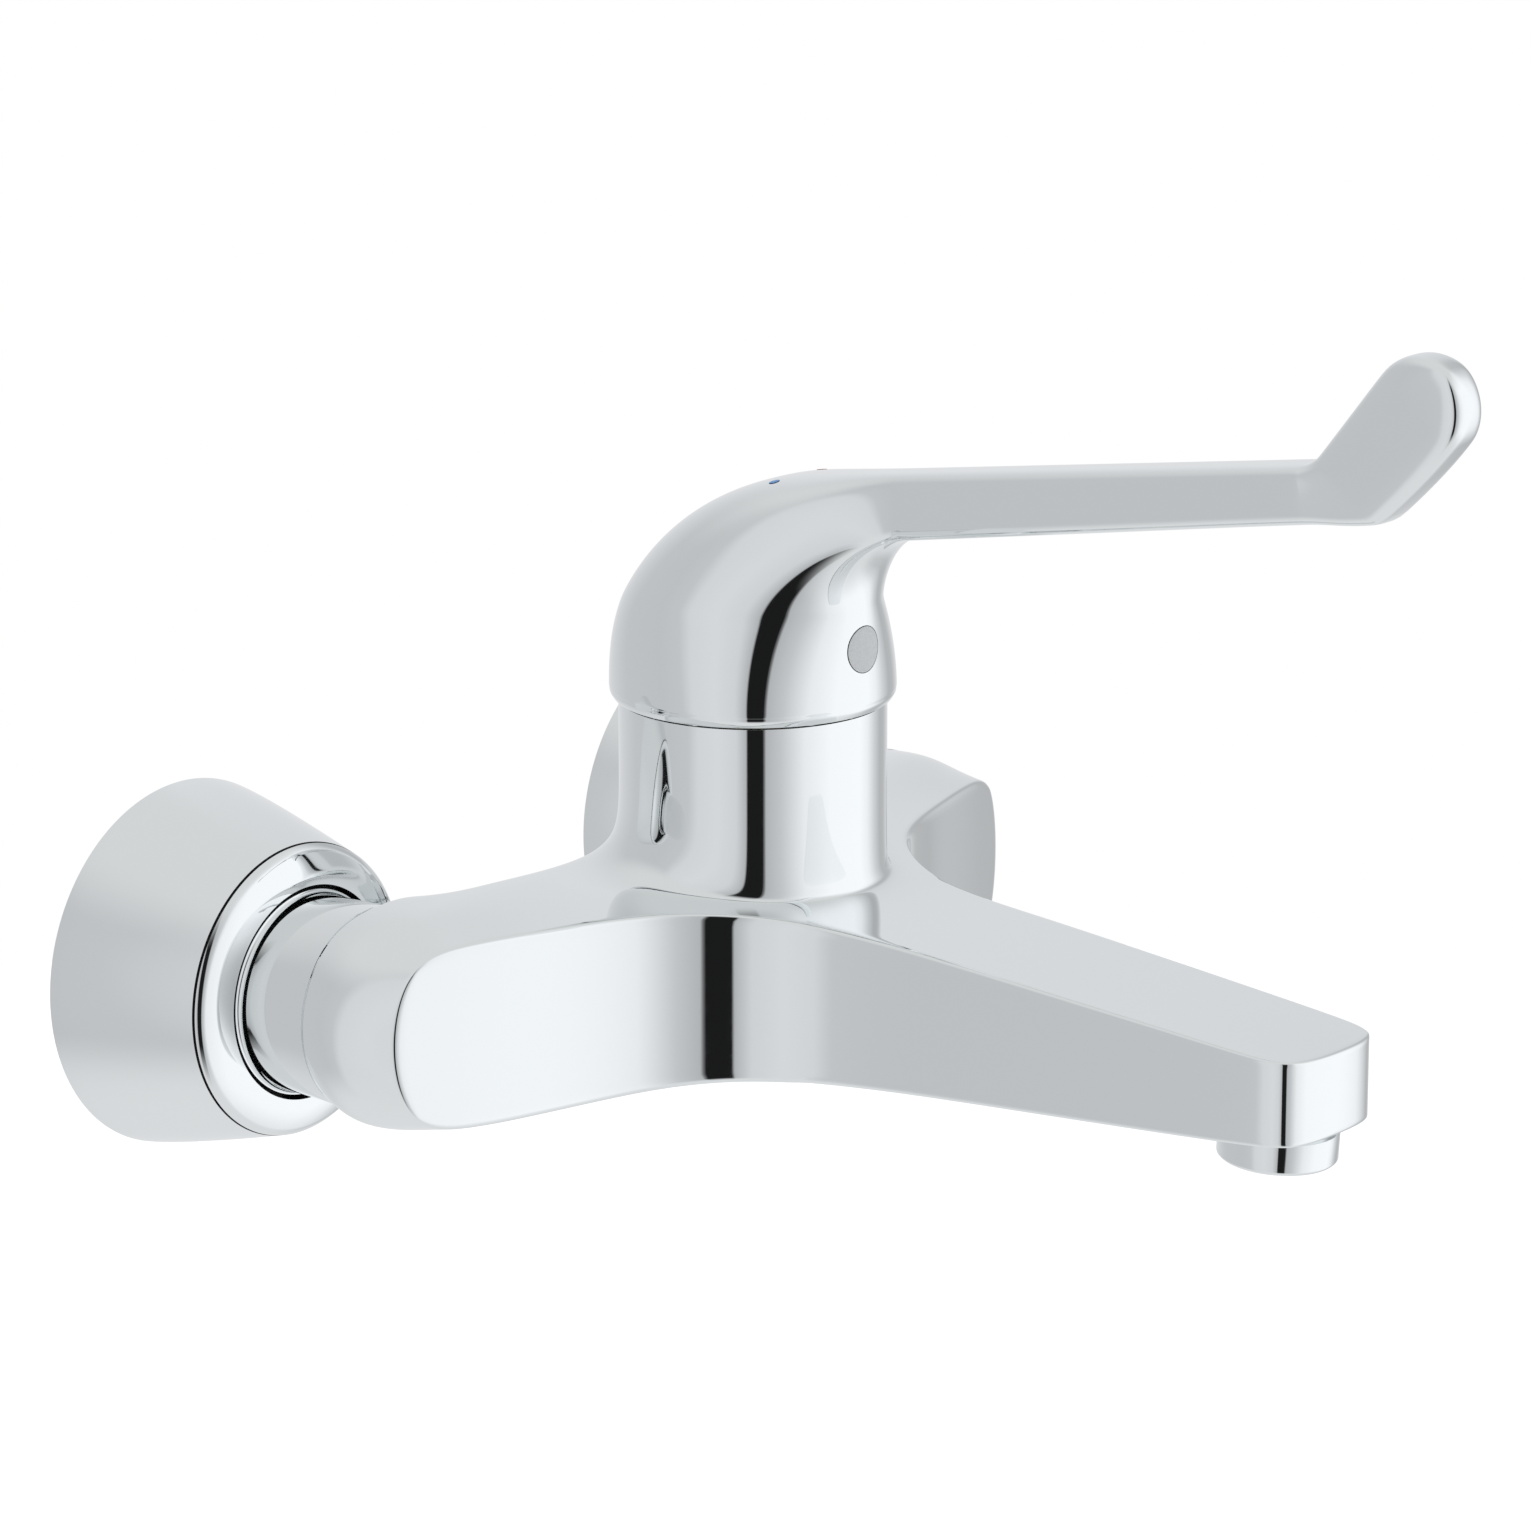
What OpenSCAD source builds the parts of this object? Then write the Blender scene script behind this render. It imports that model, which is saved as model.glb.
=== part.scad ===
// Wall mounted elbow lever tap: two inlets, a fixed spout and one long lever.
// The wall is the plane y = 0, the tap stands out of it along -y, and z is up.
// The origin lies on the wall, midway between the inlets, at the height of their axes.

/* [Wall connection] */
// Distance between the two inlet axes
inlet_spacing = 150; // [136:1:200]
// Outer radius of the half inch thread that goes into the wall
wall_thread_r = 10.48; // [9:0.01:11.5]
// Length of the wall thread behind the wall
wall_thread_length = 16; // [10:0.5:25]
// How far the wall thread lies above the inlet axis
union_offset = 6; // [2:0.5:8]
// Outer radius of the three quarter inch thread on the tap's side
union_thread_r = 13.2; // [12:0.1:14.5]
// Reach of the eccentric union from the wall
union_length = 26; // [22:0.5:28]
// Radius of the waterway through the union
union_bore_r = 7; // [5:0.1:7.6]
// Thickness of the strainer washer
washer_thickness = 2; // [1.5:0.1:3]
// Radial slack of the washer in the nut
washer_slack = 0.2; // [0.1:0.05:0.4]
// Distance of the union's flange from the wall
flange_start = 4; // [2:0.5:6]
// Thickness of the union's flange
flange_h = 5; // [3:0.5:8]
// How far the flange stands out past the thread
flange_rim = 1.5; // [1:0.1:4]
// Radius of the strainer's holes
strainer_hole_r = 0.9; // [0.5:0.1:1.1]

/* [Escutcheon] */
// Radius of the escutcheon on the wall
escutcheon_r = 35; // [31:0.5:50]
// Width of the rounded band between its front edge and its hole
rim_band = 8; // [6:0.1:9]
// Distance of the front edge from the wall
escutcheon_depth = 29.8; // [28:0.1:36]
// How far its front stands out past the edge
escutcheon_bulge = 2.6; // [2:0.1:4]
// Thickness of the escutcheon's wall
escutcheon_wall = 2; // [1.2:0.1:2.6]
// Step of its inner corner behind the front edge
rim_undercut = 1; // [0.5:0.1:1.5]

/* [Union nut] */
// Wall of the nut outside its thread
nut_wall = 5.5; // [4:0.1:7]
// How far the nut's collar stands out past its barrel
collar_step = 0.8; // [0.6:0.1:2]
// Thickness of the nut's collar
collar_h = 2.2; // [1.5:0.1:3]
// How far the collar lies behind the escutcheon's front
collar_sink = 1; // [0.5:0.1:1.5]
// Thickness of the rubber ring that holds the escutcheon on the nut
grip_h = 2.4; // [1.5:0.1:4]
// Length of thread that the nut covers
nut_engagement = 9; // [6:0.5:12]
// Length of the nut in front of the inlet tube's collar
nut_nose = 18; // [15:0.5:22]
// Radius of the waterway through the inlet tube
tail_bore_r = 8; // [7.5:0.1:8.5]
// Wall of the inlet tube
tail_wall = 2.4; // [1.6:0.1:2.8]
// Thickness of the inlet tube's collar
tail_collar = 3; // [2:0.1:4]
// Length of the inlet tube behind the check valve
tail_reserve = 8; // [6:0.5:9]
// Step in the inlet tube on which the check valve rests
tail_step = 1.2; // [0.8:0.1:1.6]
// Distance from the tube's collar to the check valve
valve_lead = 2.5; // [1.5:0.1:4]

/* [Check valve] */
// Radius of the valve's seat opening
seat_r = 4.2; // [3.5:0.1:4.5]
// How far the poppet's head overlaps its seat
poppet_overlap = 1.2; // [0.8:0.1:1.5]
// Radius of the poppet's stem
stem_r = 1.5; // [1.2:0.1:1.8]
// Opening travel of the poppet
poppet_travel = 3; // [2:0.1:4]
// Thickness of the valve spring's wire
spring_wire = 0.6; // [0.4:0.05:0.8]
// Turns of the valve spring
spring_turns = 5; // [4:1:6]
// Gap between the spring's turns
coil_gap = 0.84; // [0.6:0.02:1.2]
// Wall of the check valve's cage
valve_wall = 1.5; // [1.2:0.1:1.6]
// Thickness of the valve's seat
seat_h = 2; // [1.5:0.1:3]
// Thickness of the stem's guide
guide_h = 1.6; // [1.2:0.1:2.5]
// Radius of the holes through the guide
guide_hole_r = 1.6; // [1:0.1:1.8]
// Thickness of the poppet's head
poppet_head = 2; // [1.5:0.1:3]
// How far the stem stands out of its guide
stem_out = 2; // [1:0.1:3]

/* [Body] */
// How far the arms' back lies in front of the inlet faces
arm_set_back = 1.5; // [0.5:0.1:4]
// How far the arms run on past the inlet axes
arm_overhang = 14.2; // [11:0.1:17]
// Depth of the arms at their outer ends
elbow_depth = 19.2; // [17:0.1:23]
// Radius of the elbow's round belly
elbow_r = 20.8; // [20:0.1:22]
// Distance from the wall to the middle of that belly
elbow_reach = 55.5; // [54:0.1:57]
// Angle at which the arms' fronts lean out towards the middle
panel_angle = 17; // [14:0.1:20]
// Height of the front panels' top edge over the inlet axes
arm_top = 16.3; // [15:0.1:18]
// Height of the arms' back edge over the inlet axes
arm_ridge = 18.4; // [17:0.1:20]
// Depth of the arms' underside below the inlet axes
arm_bottom = 18.7; // [17:0.1:21]
// Length over which the front panels' outer ends are rounded
panel_round = 20.5; // [12:0.5:30]
// Rounding of the arms' back edges
back_round = 4; // [3:0.5:8]
// Radius of the hollow curve between arm and spout
spout_fillet_r = 44; // [36:0.5:48]
// Radius of the fillet between column and arms
column_fillet_r = 6; // [4:0.5:10]
// How far the column's axis lies in front of the inlet faces
column_set_out = 29; // [27:0.5:34]
// Wall of the column outside the clamp ring
column_wall = 3.4; // [2.5:0.1:6]
// Height of the column's top over the inlet axes
column_top = 49.5; // [48:0.5:56]
// Radius of the waterways in the arms
inlet_way_r = 5; // [3.5:0.1:6]

/* [Spout] */
// Reach of the spout's tip from the wall
spout_reach = 214; // [190:0.5:260]
// Width of the spout where it leaves the column's axis
spout_root_w = 39.6; // [36:0.1:43]
// Width of the spout at its tip
spout_tip_w = 29.8; // [26:0.1:34]
// Corner radius of the tip in plan
nose_r = 9; // [5:0.5:11]
// Height of the spout's top where it leaves the body
spout_root_top = 15.9; // [13:0.1:17]
// Height of the spout's top at its tip
spout_tip_top = 6.2; // [5.5:0.1:10]
// Depth of the spout's underside where it leaves the body
spout_root_bottom = 16.7; // [14:0.1:18]
// Depth of the spout's underside at its tip
spout_tip_bottom = 9.2; // [8.5:0.1:12]
// Distance from the tip back to the aerator's axis
aerator_setback = 13.2; // [12.5:0.1:30]
// Radius of the waterway in the spout
spout_way_r = 4.2; // [3:0.1:4.6]
// How far in front of the column's axis the spout's own line starts
spout_root_run = 17; // [15:0.5:24]
// Height of the waterway over the middle of the tip
way_lift = 0.6; // [0:0.1:1]

/* [Aerator] */
// Outer radius of the aerator's visible ring
aerator_r = 11; // [10.5:0.1:12]
// Height of the visible ring
aerator_ring_h = 6; // [4:0.1:8]
// Radius of the aerator's thread in the spout
aerator_thread_r = 9.5; // [9:0.1:10]
// Length of the aerator's thread
aerator_thread_l = 5; // [4:0.1:5.5]
// Wall of the aerator's housing
aerator_wall = 1.4; // [1:0.1:1.8]
// Thickness of the aerator's seal
aerator_seal_h = 1.5; // [1:0.1:1.8]
// Width of the aerator's seal
aerator_seal_w = 3; // [2:0.1:4]
// How far the insert lies inside the ring
insert_sink = 0.8; // [0.3:0.1:1.5]
// Radius of the spray holes
spray_hole_r = 0.8; // [0.5:0.1:0.9]

/* [Cartridge] */
// Outer radius of the cartridge
cartridge_r = 20; // [19.5:0.1:22]
// Height of the cartridge's floor over the inlet axes
cartridge_floor = 16; // [15:0.1:17]
// Thickness of the cartridge's base plate
base_h = 5; // [4:0.1:5.5]
// Thickness of each ceramic disc
disc_h = 3.8; // [3:0.1:4]
// Height of the disc carrier
carrier_h = 5.6; // [5:0.1:6]
// Height of the rotor's drum
drum_h = 6.5; // [5.5:0.1:7.5]
// Wall of the cartridge's housing
housing_wall = 2.5; // [2:0.1:2.6]
// How far the rotor's drum stands out past its neck
drum_step = 3.45; // [2.6:0.05:4]
// How far the clamp ring's thread stands out past the cartridge
clamp_step = 2; // [1.5:0.1:3]
// Radius of the ports through base and disc
port_r = 3.6; // [3:0.1:4]
// Distance of the ports from the column's axis
port_circle_r = 9; // [8.6:0.1:9.6]
// Gap between a port and its seal
seal_lip = 0.3; // [0.2:0.05:0.5]
// Width of a port's seal
seal_w = 1.3; // [1:0.1:1.6]
// Depth of the seal's groove in the base plate
seal_h = 0.9; // [0.6:0.1:1.4]
// Roof of the housing over the rotor's drum
housing_roof = 1.75; // [1.5:0.05:3]
// Wall of the housing's hub
hub_wall = 2.1; // [1.5:0.1:2.4]
// How far the clamp ring lies below the column's top
clamp_sink = 0.6; // [0.4:0.1:1]
// Depth of the clamp ring's tool notches
clamp_notch = 2; // [1:0.1:2.5]
// Thickness of the temperature limiter
limiter_h = 2.2; // [1.6:0.1:3]
// Land round the pocket of the moving disc
disc_land = 5; // [4:0.1:6]
// How far the moving disc's pocket lies behind its middle
disc_pocket_shift = 2; // [0:0.1:3]
// How far the carrier's sides are cut flat
carrier_flat = 2; // [1.5:0.1:3]
// Thickness of the rotor's guides
guide_t = 3; // [2:0.1:3.4]
// Length of the rotor's guides
guide_l = 12; // [8:0.5:13]

/* [Spindle] */
// Width of the spindle across the lever
spindle_w = 8; // [7:0.1:8.5]
// Depth of the spindle along the lever
spindle_d = 10; // [9:0.1:10.4]
// Length of the spindle above its pivot
spindle_length = 34.5; // [28:0.5:36]
// Radius of the pivot pin
pivot_pin_r = 2; // [1.5:0.1:2.2]
// Distance of the spindle's driving end below the pivot
drive_arm = 9; // [8.6:0.1:10]
// Radius of the spindle's driving end
drive_r = 3.2; // [2.8:0.1:3.3]
// Depth of the shank over the driving end
shank_d = 4.8; // [4:0.1:5.2]
// How far the spindle's full depth reaches below the pivot
shank_drop = 5; // [3:0.1:5.2]
// Floor of the carrier's pocket for the driving end
drive_rest = 0.6; // [0.5:0.1:1]
// Slack of the driving end in that pocket
drive_slack = 0.5; // [0.4:0.05:0.8]
// Angle that the lever lifts from closed to full flow
lift_angle = 24; // [16:0.5:26]

/* [Lever] */
// How far the hood stands out past the column
hood_overhang = 1.8; // [1.6:0.1:4]
// Chamfer of the hood's rim
rim_chamfer = 0.9; // [0.3:0.1:1]
// Height of the hood's straight band over its rim
dome_lift = 2.1; // [1.5:0.1:4]
// Height of the curve up the hood's back
dome_h = 43.2; // [41:0.1:46]
// Height of the curve up the hood's sides
dome_side_h = 41.6; // [38:0.1:48]
// How far the middle of the back's curve lies in front of the column's axis
dome_shift = 22.6; // [14:0.1:25]
// Wall of the hood
hood_wall = 2.2; // [1.6:0.1:2.6]
// Thickness of the hood's crown over the spindle
hood_crown = 15; // [13:0.1:17]
// How far the hood's front wall leans in
front_lean = 0.3; // [0.1:0.1:2]
// Radius of the hollow curve below the lever's root
throat_r = 16; // [13:0.1:18]
// Rise of the lever's top line, in degrees
lever_rise = 8.75; // [6:0.05:11]
// Distance from the column's axis to the paddle's bend
lever_length = 126; // [80:1:180]
// Height of the lever bar at its root
bar_root_h = 13.5; // [11:0.1:15]
// Height of the lever bar at the paddle
bar_tip_h = 10.7; // [8:0.1:12]
// Width of the lever bar
bar_w = 12.6; // [10:0.1:15]
// Angle of the paddle over the horizontal
paddle_angle = 52; // [35:1:65]
// Length of the paddle from its bend
paddle_length = 30.4; // [24:0.1:45]
// Width of the paddle seen from the side
paddle_w = 19; // [18.5:0.1:26]
// Width of the paddle where it leaves the bend
paddle_root_w = 17; // [13:0.1:18.9]
// Thickness of the paddle
paddle_t = 10; // [8:0.1:12]
// Inner radius of the paddle's bend
bend_r = 5.3; // [3:0.1:8]
// Height of the index plug over the hood's rim
plug_height = 12.9; // [11:0.1:15]
// Radius of the index plug
plug_r = 4.5; // [3.5:0.1:5.5]
// Length of the index plug
plug_l = 4; // [3:0.1:5]
// How far the plug's face lies below the hood's skin
plug_sink = 0.2; // [0.1:0.05:0.5]
// Radius of the grub screw
grub_r = 2.5; // [2:0.1:3]
// Length of the grub screw
grub_l = 6; // [5:0.1:8]
// Radius of the grub screw's key socket
key_r = 1.4; // [1:0.1:1.6]
// Depth of the key socket
key_depth = 2; // [1:0.1:3]
// Wall of the boss round the spindle's socket
boss_wall = 5; // [4:0.1:6]
// Radius of the colour marks
mark_r = 1; // [0.6:0.1:1.4]
// Depth of the colour marks
mark_l = 1.9; // [1.2:0.1:3]
// Distance of the colour marks from the lever's middle
mark_x = 7; // [5:0.1:8]
// Distance of the colour marks in front of the column's axis
mark_s = 11; // [8:0.5:14]

/* [Clearances] */
// Gap between pieces that are screwed or pushed together
fit_gap = 0.05; // [0.02:0.01:0.08]
// Radial gap of a turning fit
turn_gap = 0.05; // [0.02:0.01:0.08]
// Gap between pieces that move past each other
run_gap = 0.3; // [0.25:0.05:0.4]
// Gap between the hood's rim and the column's top
rim_gap = 0.4; // [0.3:0.05:0.6]
// Gap between the nut's collar and the escutcheon
collar_gap = 0.4; // [0.3:0.05:0.6]

/* [Hidden] */

$fn = 64;
skin = 0.2;
over = 1;
chrome = [0.80, 0.82, 0.84];
brass = [0.78, 0.62, 0.30];
plastic_white = [0.90, 0.90, 0.88];
plastic_grey = [0.55, 0.57, 0.58];
rubber = [0.10, 0.10, 0.11];
ceramic = [0.93, 0.92, 0.88];
steel = [0.62, 0.63, 0.65];
plug_grey = [0.72, 0.73, 0.73];
mark_blue = [0.10, 0.42, 0.75];
mark_red = [0.78, 0.10, 0.12];

// Stations along an inlet axis, as distances from the wall
inlet_x = inlet_spacing / 2;
bore_overlap = 2;
washer_end = union_length + washer_thickness;
collar_end = washer_end + tail_collar;
neck_reach = collar_end + nut_nose;
nut_r = union_thread_r + nut_wall;
nut_collar_r = nut_r + collar_step;
nut_back = union_length - nut_engagement;
nut_lip = collar_end + fit_gap;
nut_front = neck_reach - fit_gap;
nut_collar_front = escutcheon_depth + escutcheon_bulge - collar_sink;
nut_collar_back = nut_collar_front - collar_h;
hole_r = nut_collar_r + collar_gap;
bulge_turn = 90;
escutcheon_rim_r = hole_r + rim_band;
inner_rim_r = escutcheon_rim_r - escutcheon_wall - rim_undercut;
washer_r = union_thread_r - washer_slack;

// Inlet tube and check valve
tail_r = tail_bore_r + tail_wall;
valve_r = tail_bore_r - fit_gap;
poppet_r = seat_r + poppet_overlap;
spring_pitch = spring_wire + coil_gap;
spring_room = poppet_travel + spring_turns * spring_pitch;
valve_length = seat_h + poppet_head + spring_room + guide_h;
valve_start = collar_end + valve_lead;
valve_end = valve_start + valve_length;
tail_end = valve_end + tail_reserve;
tail_depth = tail_end - neck_reach;
poppet_start = valve_start + seat_h + fit_gap;
stem_end = valve_end + stem_out;
spring_r = (poppet_r + stem_r) / 2;
spring_start = poppet_start + poppet_head + fit_gap + spring_wire / 2;
spring_end = valve_end - guide_h - fit_gap - spring_wire / 2;
neck_bore_r = tail_r + fit_gap;

// Reach of the body's parts from the wall
arm_back_reach = neck_reach + arm_set_back;
arm_end_reach = neck_reach + elbow_depth;
column_reach = neck_reach + column_set_out;

// Plan of the body's left half: panel line, spout side and the hollow curve between them
panel_end = [-(inlet_x + arm_overhang), -arm_end_reach];
panel_dir = [cos(panel_angle), -sin(panel_angle)];
panel_out = [-sin(panel_angle), -cos(panel_angle)];
side_root = [-spout_root_w / 2, -column_reach];
side_tip = [-spout_tip_w / 2, -(spout_reach - nose_r)];
side_dir = (side_tip - side_root) / norm(side_tip - side_root);
cross_dirs = panel_dir.x * side_dir.y - panel_dir.y * side_dir.x;
to_side = side_root - panel_end;
along_panel = (to_side.x * side_dir.y - to_side.y * side_dir.x) / cross_dirs;
plan_corner = panel_end + panel_dir * along_panel;
plan_turn = acos(panel_dir * side_dir);
fillet_run = spout_fillet_r * tan(plan_turn / 2);
fillet_start = plan_corner - panel_dir * fillet_run;
fillet_end = plan_corner + side_dir * fillet_run;
fillet_centre = fillet_start + panel_out * spout_fillet_r;
panel_length = along_panel - fillet_run;

// Side line of the spout
spout_root_reach = column_reach + spout_root_run;
bottom_slope = (spout_root_bottom - spout_tip_bottom) / (spout_reach - spout_root_reach);
aerator_reach = spout_reach - aerator_setback;
aerator_z = -spout_tip_bottom - bottom_slope * aerator_setback;
aerator_tilt = atan(bottom_slope);
spout_way_z = (spout_tip_top - spout_tip_bottom) / 2 + way_lift;
aerator_bore_r = aerator_thread_r + fit_gap;
aerator_bore_h = aerator_thread_l + aerator_seal_h + 2 * fit_gap;
aerator_inner_r = aerator_thread_r - aerator_wall;

// Heights and radii in the cartridge
base_z = cartridge_floor + run_gap;
fixed_disc_z = base_z + base_h + fit_gap;
moving_disc_z = fixed_disc_z + disc_h + turn_gap;
carrier_z = moving_disc_z + disc_h + fit_gap;
carrier_top = carrier_z + carrier_h;
drum_z = carrier_top + run_gap;
drum_top = drum_z + drum_h;
housing_shoulder = drum_top + run_gap + housing_roof;
clamp_top = column_top - clamp_sink;
clamp_r = cartridge_r + clamp_step;
clamp_bore_r = clamp_r + fit_gap;
column_r = clamp_r + column_wall;
housing_r = cartridge_r - fit_gap;
housing_bore_r = cartridge_r - housing_wall;
drum_r = housing_bore_r - turn_gap;
rotor_neck_r = drum_r - drum_step;
hub_bore_r = rotor_neck_r + turn_gap;
hub_r = hub_bore_r + hub_wall;
hub_top = clamp_top - run_gap;
limiter_z = hub_top + run_gap;
neck_top = limiter_z + limiter_h;
ports = [for (a = [35, 145, 270]) port_circle_r * [cos(a), sin(a)]];

// Spindle, its pivot and the room that it needs
pivot_z = carrier_z + drive_rest + run_gap + drive_r + drive_arm;
spindle_top = pivot_z + spindle_length;
disc_travel = drive_arm * lift_angle * PI / 180;
moving_disc_r = housing_bore_r - disc_travel - 2 * run_gap;
disc_pocket_r = moving_disc_r - disc_land;
guide_w = moving_disc_r - carrier_flat;
slot_w = spindle_w + 2 * run_gap;
slot_front = spindle_d / 2 * cos(lift_angle) + shank_drop * sin(lift_angle) + 4 * run_gap;
slot_back = spindle_d / 2 / cos(lift_angle) + (neck_top - pivot_z) * tan(lift_angle) + 4 * run_gap;

// Hood and lever, measured forward from the column's axis
hood_r = column_r + hood_overhang;
rim_z = column_top + rim_gap;
rim_inner_r = column_r + rim_gap;
dome_z = rim_z + dome_lift;
rise = tan(lever_rise);
dome_a = hood_r + dome_shift;
dome_top = sqrt(pow(dome_a * rise, 2) + pow(dome_h, 2));
top_at_axis = dome_z + dome_top - dome_shift * rise;
front_r = hood_r - front_lean;
throat_s = front_r + throat_r;
bar_axis_angle = lever_rise + atan((bar_root_h - bar_tip_h) / lever_length) / 2;
throat_z = bar_bottom(throat_s) - throat_r / cos(bar_axis_angle);
fan_end = 90 - bar_axis_angle;
tangent_s = dome_shift - pow(dome_a, 2) * rise / dome_top;
fan_tangent = atan2(bar_top(tangent_s) - throat_z, throat_s - tangent_s);
dome_r_at_throat = dome_radius(throat_z);
bar_square = 4.4;
square_delay = 1.55;
neck_taper = 2;
neck_swell = -0.65;
hood_egg = 0.22;
egg_rise = 1.8;
egg_fall = 0.7;
side_lean = hood_r * (throat_z - dome_z) / dome_side_h
    / sqrt(pow(dome_side_h, 2) - pow(throat_z - dome_z, 2));
fan_mid_r = (throat_s + dome_back(throat_z) + throat_r) / 2;
fan_turn = fan_end * PI / 180;
neck_lead = neck_taper - side_lean * fan_mid_r * fan_turn / (dome_r_at_throat - bar_w / 2);
bend_pivot = [lever_length, bar_top(lever_length) + bend_r / cos(lever_rise)];
plug_z = rim_z + plug_height;
plug_face = hood_r - front_lean * (plug_z - dome_z) / (throat_z - dome_z) - plug_sink;
boss_w = spindle_w + 2 * boss_wall;
boss_d = spindle_d + 2 * boss_wall;
boss_z = pivot_z
    + (neck_top - pivot_z + 2 * run_gap + boss_d / 2 * sin(lift_angle)) / cos(lift_angle);
hollow_r = hood_r - hood_wall;
hollow_h = dome_h - hood_crown;

function polar(r, a) = r * [cos(a), sin(a)];
function arc(centre, r, from, to, steps = 10) =
    [for (i = [0 : steps]) centre + polar(r, from + (to - from) * i / steps)];
function mix(a, b, t) = a + (b - a) * t;
function signed_pow(v, e) = sign(v) * pow(abs(v), e);

// Top and bottom lines of the lever bar, then the dome's half width and its reach to the back
function bar_top(s) = top_at_axis + s * rise;
function bar_height(s) = mix(bar_root_h, bar_tip_h, s / lever_length) / cos(lever_rise);
function bar_bottom(s) = bar_top(s) - bar_height(s);
function dome_radius(z) =
    hood_r * sqrt(max(0, 1 - pow(max(0, z - dome_z) / dome_side_h, 2)));
function dome_back(z) =
    dome_a * sqrt(max(0, 1 - pow(max(0, z - dome_z) / dome_h, 2))) - dome_shift;

// A station of the lever: centre (forward, up), direction of its height, half height, half width,
// squareness and how much narrower it is at the front than at the back
function station(inner, outer, half_w, square, egg = 0) =
    let (span = outer - inner)
    [(inner + outer) / 2, span / norm(span), norm(span) / 2, half_w, square, egg];
// Width of an egg shaped ring against a round one
function egg_span(egg) =
    let (u = egg > 0 ? (sqrt(1 + 8 * egg * egg) - 1) / (4 * egg) : 0)
    sqrt(1 - u * u) * (1 + egg * u);

// Level rings of the hood, from the rim up to the throat
rim_steps = [0, 0.08, 0.13, 0.3, 0.5, 0.7, 0.85];
hood_rings = [for (t = rim_steps)
    let (z = mix(rim_z, throat_z, t))
    let (lift = max(0, z - dome_z) / (throat_z - dome_z))
    let (chamfer = t == 0 ? rim_chamfer : 0)
    let (front = hood_r - front_lean * lift - chamfer)
    let (egg = hood_egg * pow(lift, egg_rise))
    station([front, z], [chamfer - dome_back(z), z], dome_radius(z) - chamfer, 2, egg)];

// Rings fanned about the throat, from level round to square across the bar
fan_steps = 12;
function dome_hit(a) =
    let (p = [(throat_s - dome_shift) / dome_a, (throat_z - dome_z) / dome_h])
    let (q = [-cos(a) / dome_a, sin(a) / dome_h])
    let (half_b = p * q)
    (-half_b + sqrt(half_b * half_b - q * q * (p * p - 1))) / (q * q);
function bar_hit(a) = (bar_top(throat_s) - throat_z) / (sin(a) + cos(a) * rise);
function fan_reach(a) = a < fan_tangent ? dome_hit(a) : bar_hit(a);
function neck_share(t) = pow(1 - t, neck_taper) * (1 + neck_lead * t + neck_swell * t * t);
function fan_half_w(a) = mix(bar_w / 2, dome_r_at_throat, neck_share(a / fan_end));
function fan_square(a) = mix(2, bar_square, pow(a / fan_end, square_delay));
function fan_egg(a) = hood_egg * pow(1 - a / fan_end, egg_fall);
fan_pivot = [throat_s, throat_z];
fan_rings = [for (i = [0 : fan_steps])
    let (a = fan_end * i / fan_steps)
    let (dir = [-cos(a), sin(a)])
    let (low = fan_pivot + throat_r * dir)
    let (high = fan_pivot + fan_reach(a) * dir)
    station(low, high, fan_half_w(a), fan_square(a), fan_egg(a))];

// Place of the colour marks on the skin of that fan
mark_a = atan2(bar_top(mark_s) - throat_z, throat_s - mark_s);
mark_half = (fan_reach(mark_a) - throat_r) / 2;
mark_half_w = fan_half_w(mark_a) * (1 + fan_egg(mark_a)) / egg_span(fan_egg(mark_a));
mark_share = pow(1 - pow(mark_x / mark_half_w, fan_square(mark_a)), 1 / fan_square(mark_a));
mark_at = fan_pivot + (throat_r + mark_half * (1 + mark_share)) * [-cos(mark_a), sin(mark_a)];

// Rings along the straight bar
bar_steps = 5;
bar_up = [-sin(bar_axis_angle), cos(bar_axis_angle)];
bar_rings = [for (i = [1 : bar_steps - 1])
    let (s = mix(throat_s, lever_length, i / bar_steps))
    let (low = [s, bar_bottom(s)])
    station(low, low + bar_up * bar_height(s) * cos(lever_rise), bar_w / 2, bar_square)];

// Rings round the bend and along the paddle, which widens to its rounded tip
bend_steps = 6;
bend_rings = [for (i = [0 : bend_steps])
    let (t = i / bend_steps)
    let (a = mix(bar_axis_angle, paddle_angle, t))
    let (down = [sin(a), -cos(a)])
    let (w = mix(bar_tip_h, paddle_root_w, t * t))
    let (half_w = mix(bar_w, paddle_t, t) / 2)
    station(bend_pivot + down * (bend_r + w), bend_pivot + down * bend_r, half_w, bar_square)];
paddle_down = [sin(paddle_angle), -cos(paddle_angle)];
paddle_along = [cos(paddle_angle), sin(paddle_angle)];
tip_r = paddle_w / 2;
tip_round = 0.35;
paddle_straight = paddle_length - tip_r;
paddle_mid = bend_pivot + paddle_down * (bend_r + tip_r);
paddle_rings = [for (t = [0.5, 1])
    let (low = mix(paddle_root_w, paddle_w, sin(90 * t)) - tip_r)
    let (at = paddle_mid + paddle_along * paddle_straight * t)
    station(at + paddle_down * low, at - paddle_down * tip_r, paddle_t / 2, bar_square)];
tip_rings = [for (a = [20 : 17 : 88])
    let (at = paddle_mid + paddle_along * (paddle_straight + tip_r * sin(a)))
    let (half = tip_r * cos(a))
    station(at + paddle_down * half, at - paddle_down * half, paddle_t / 2 * pow(cos(a), tip_round), 3)];

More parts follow.
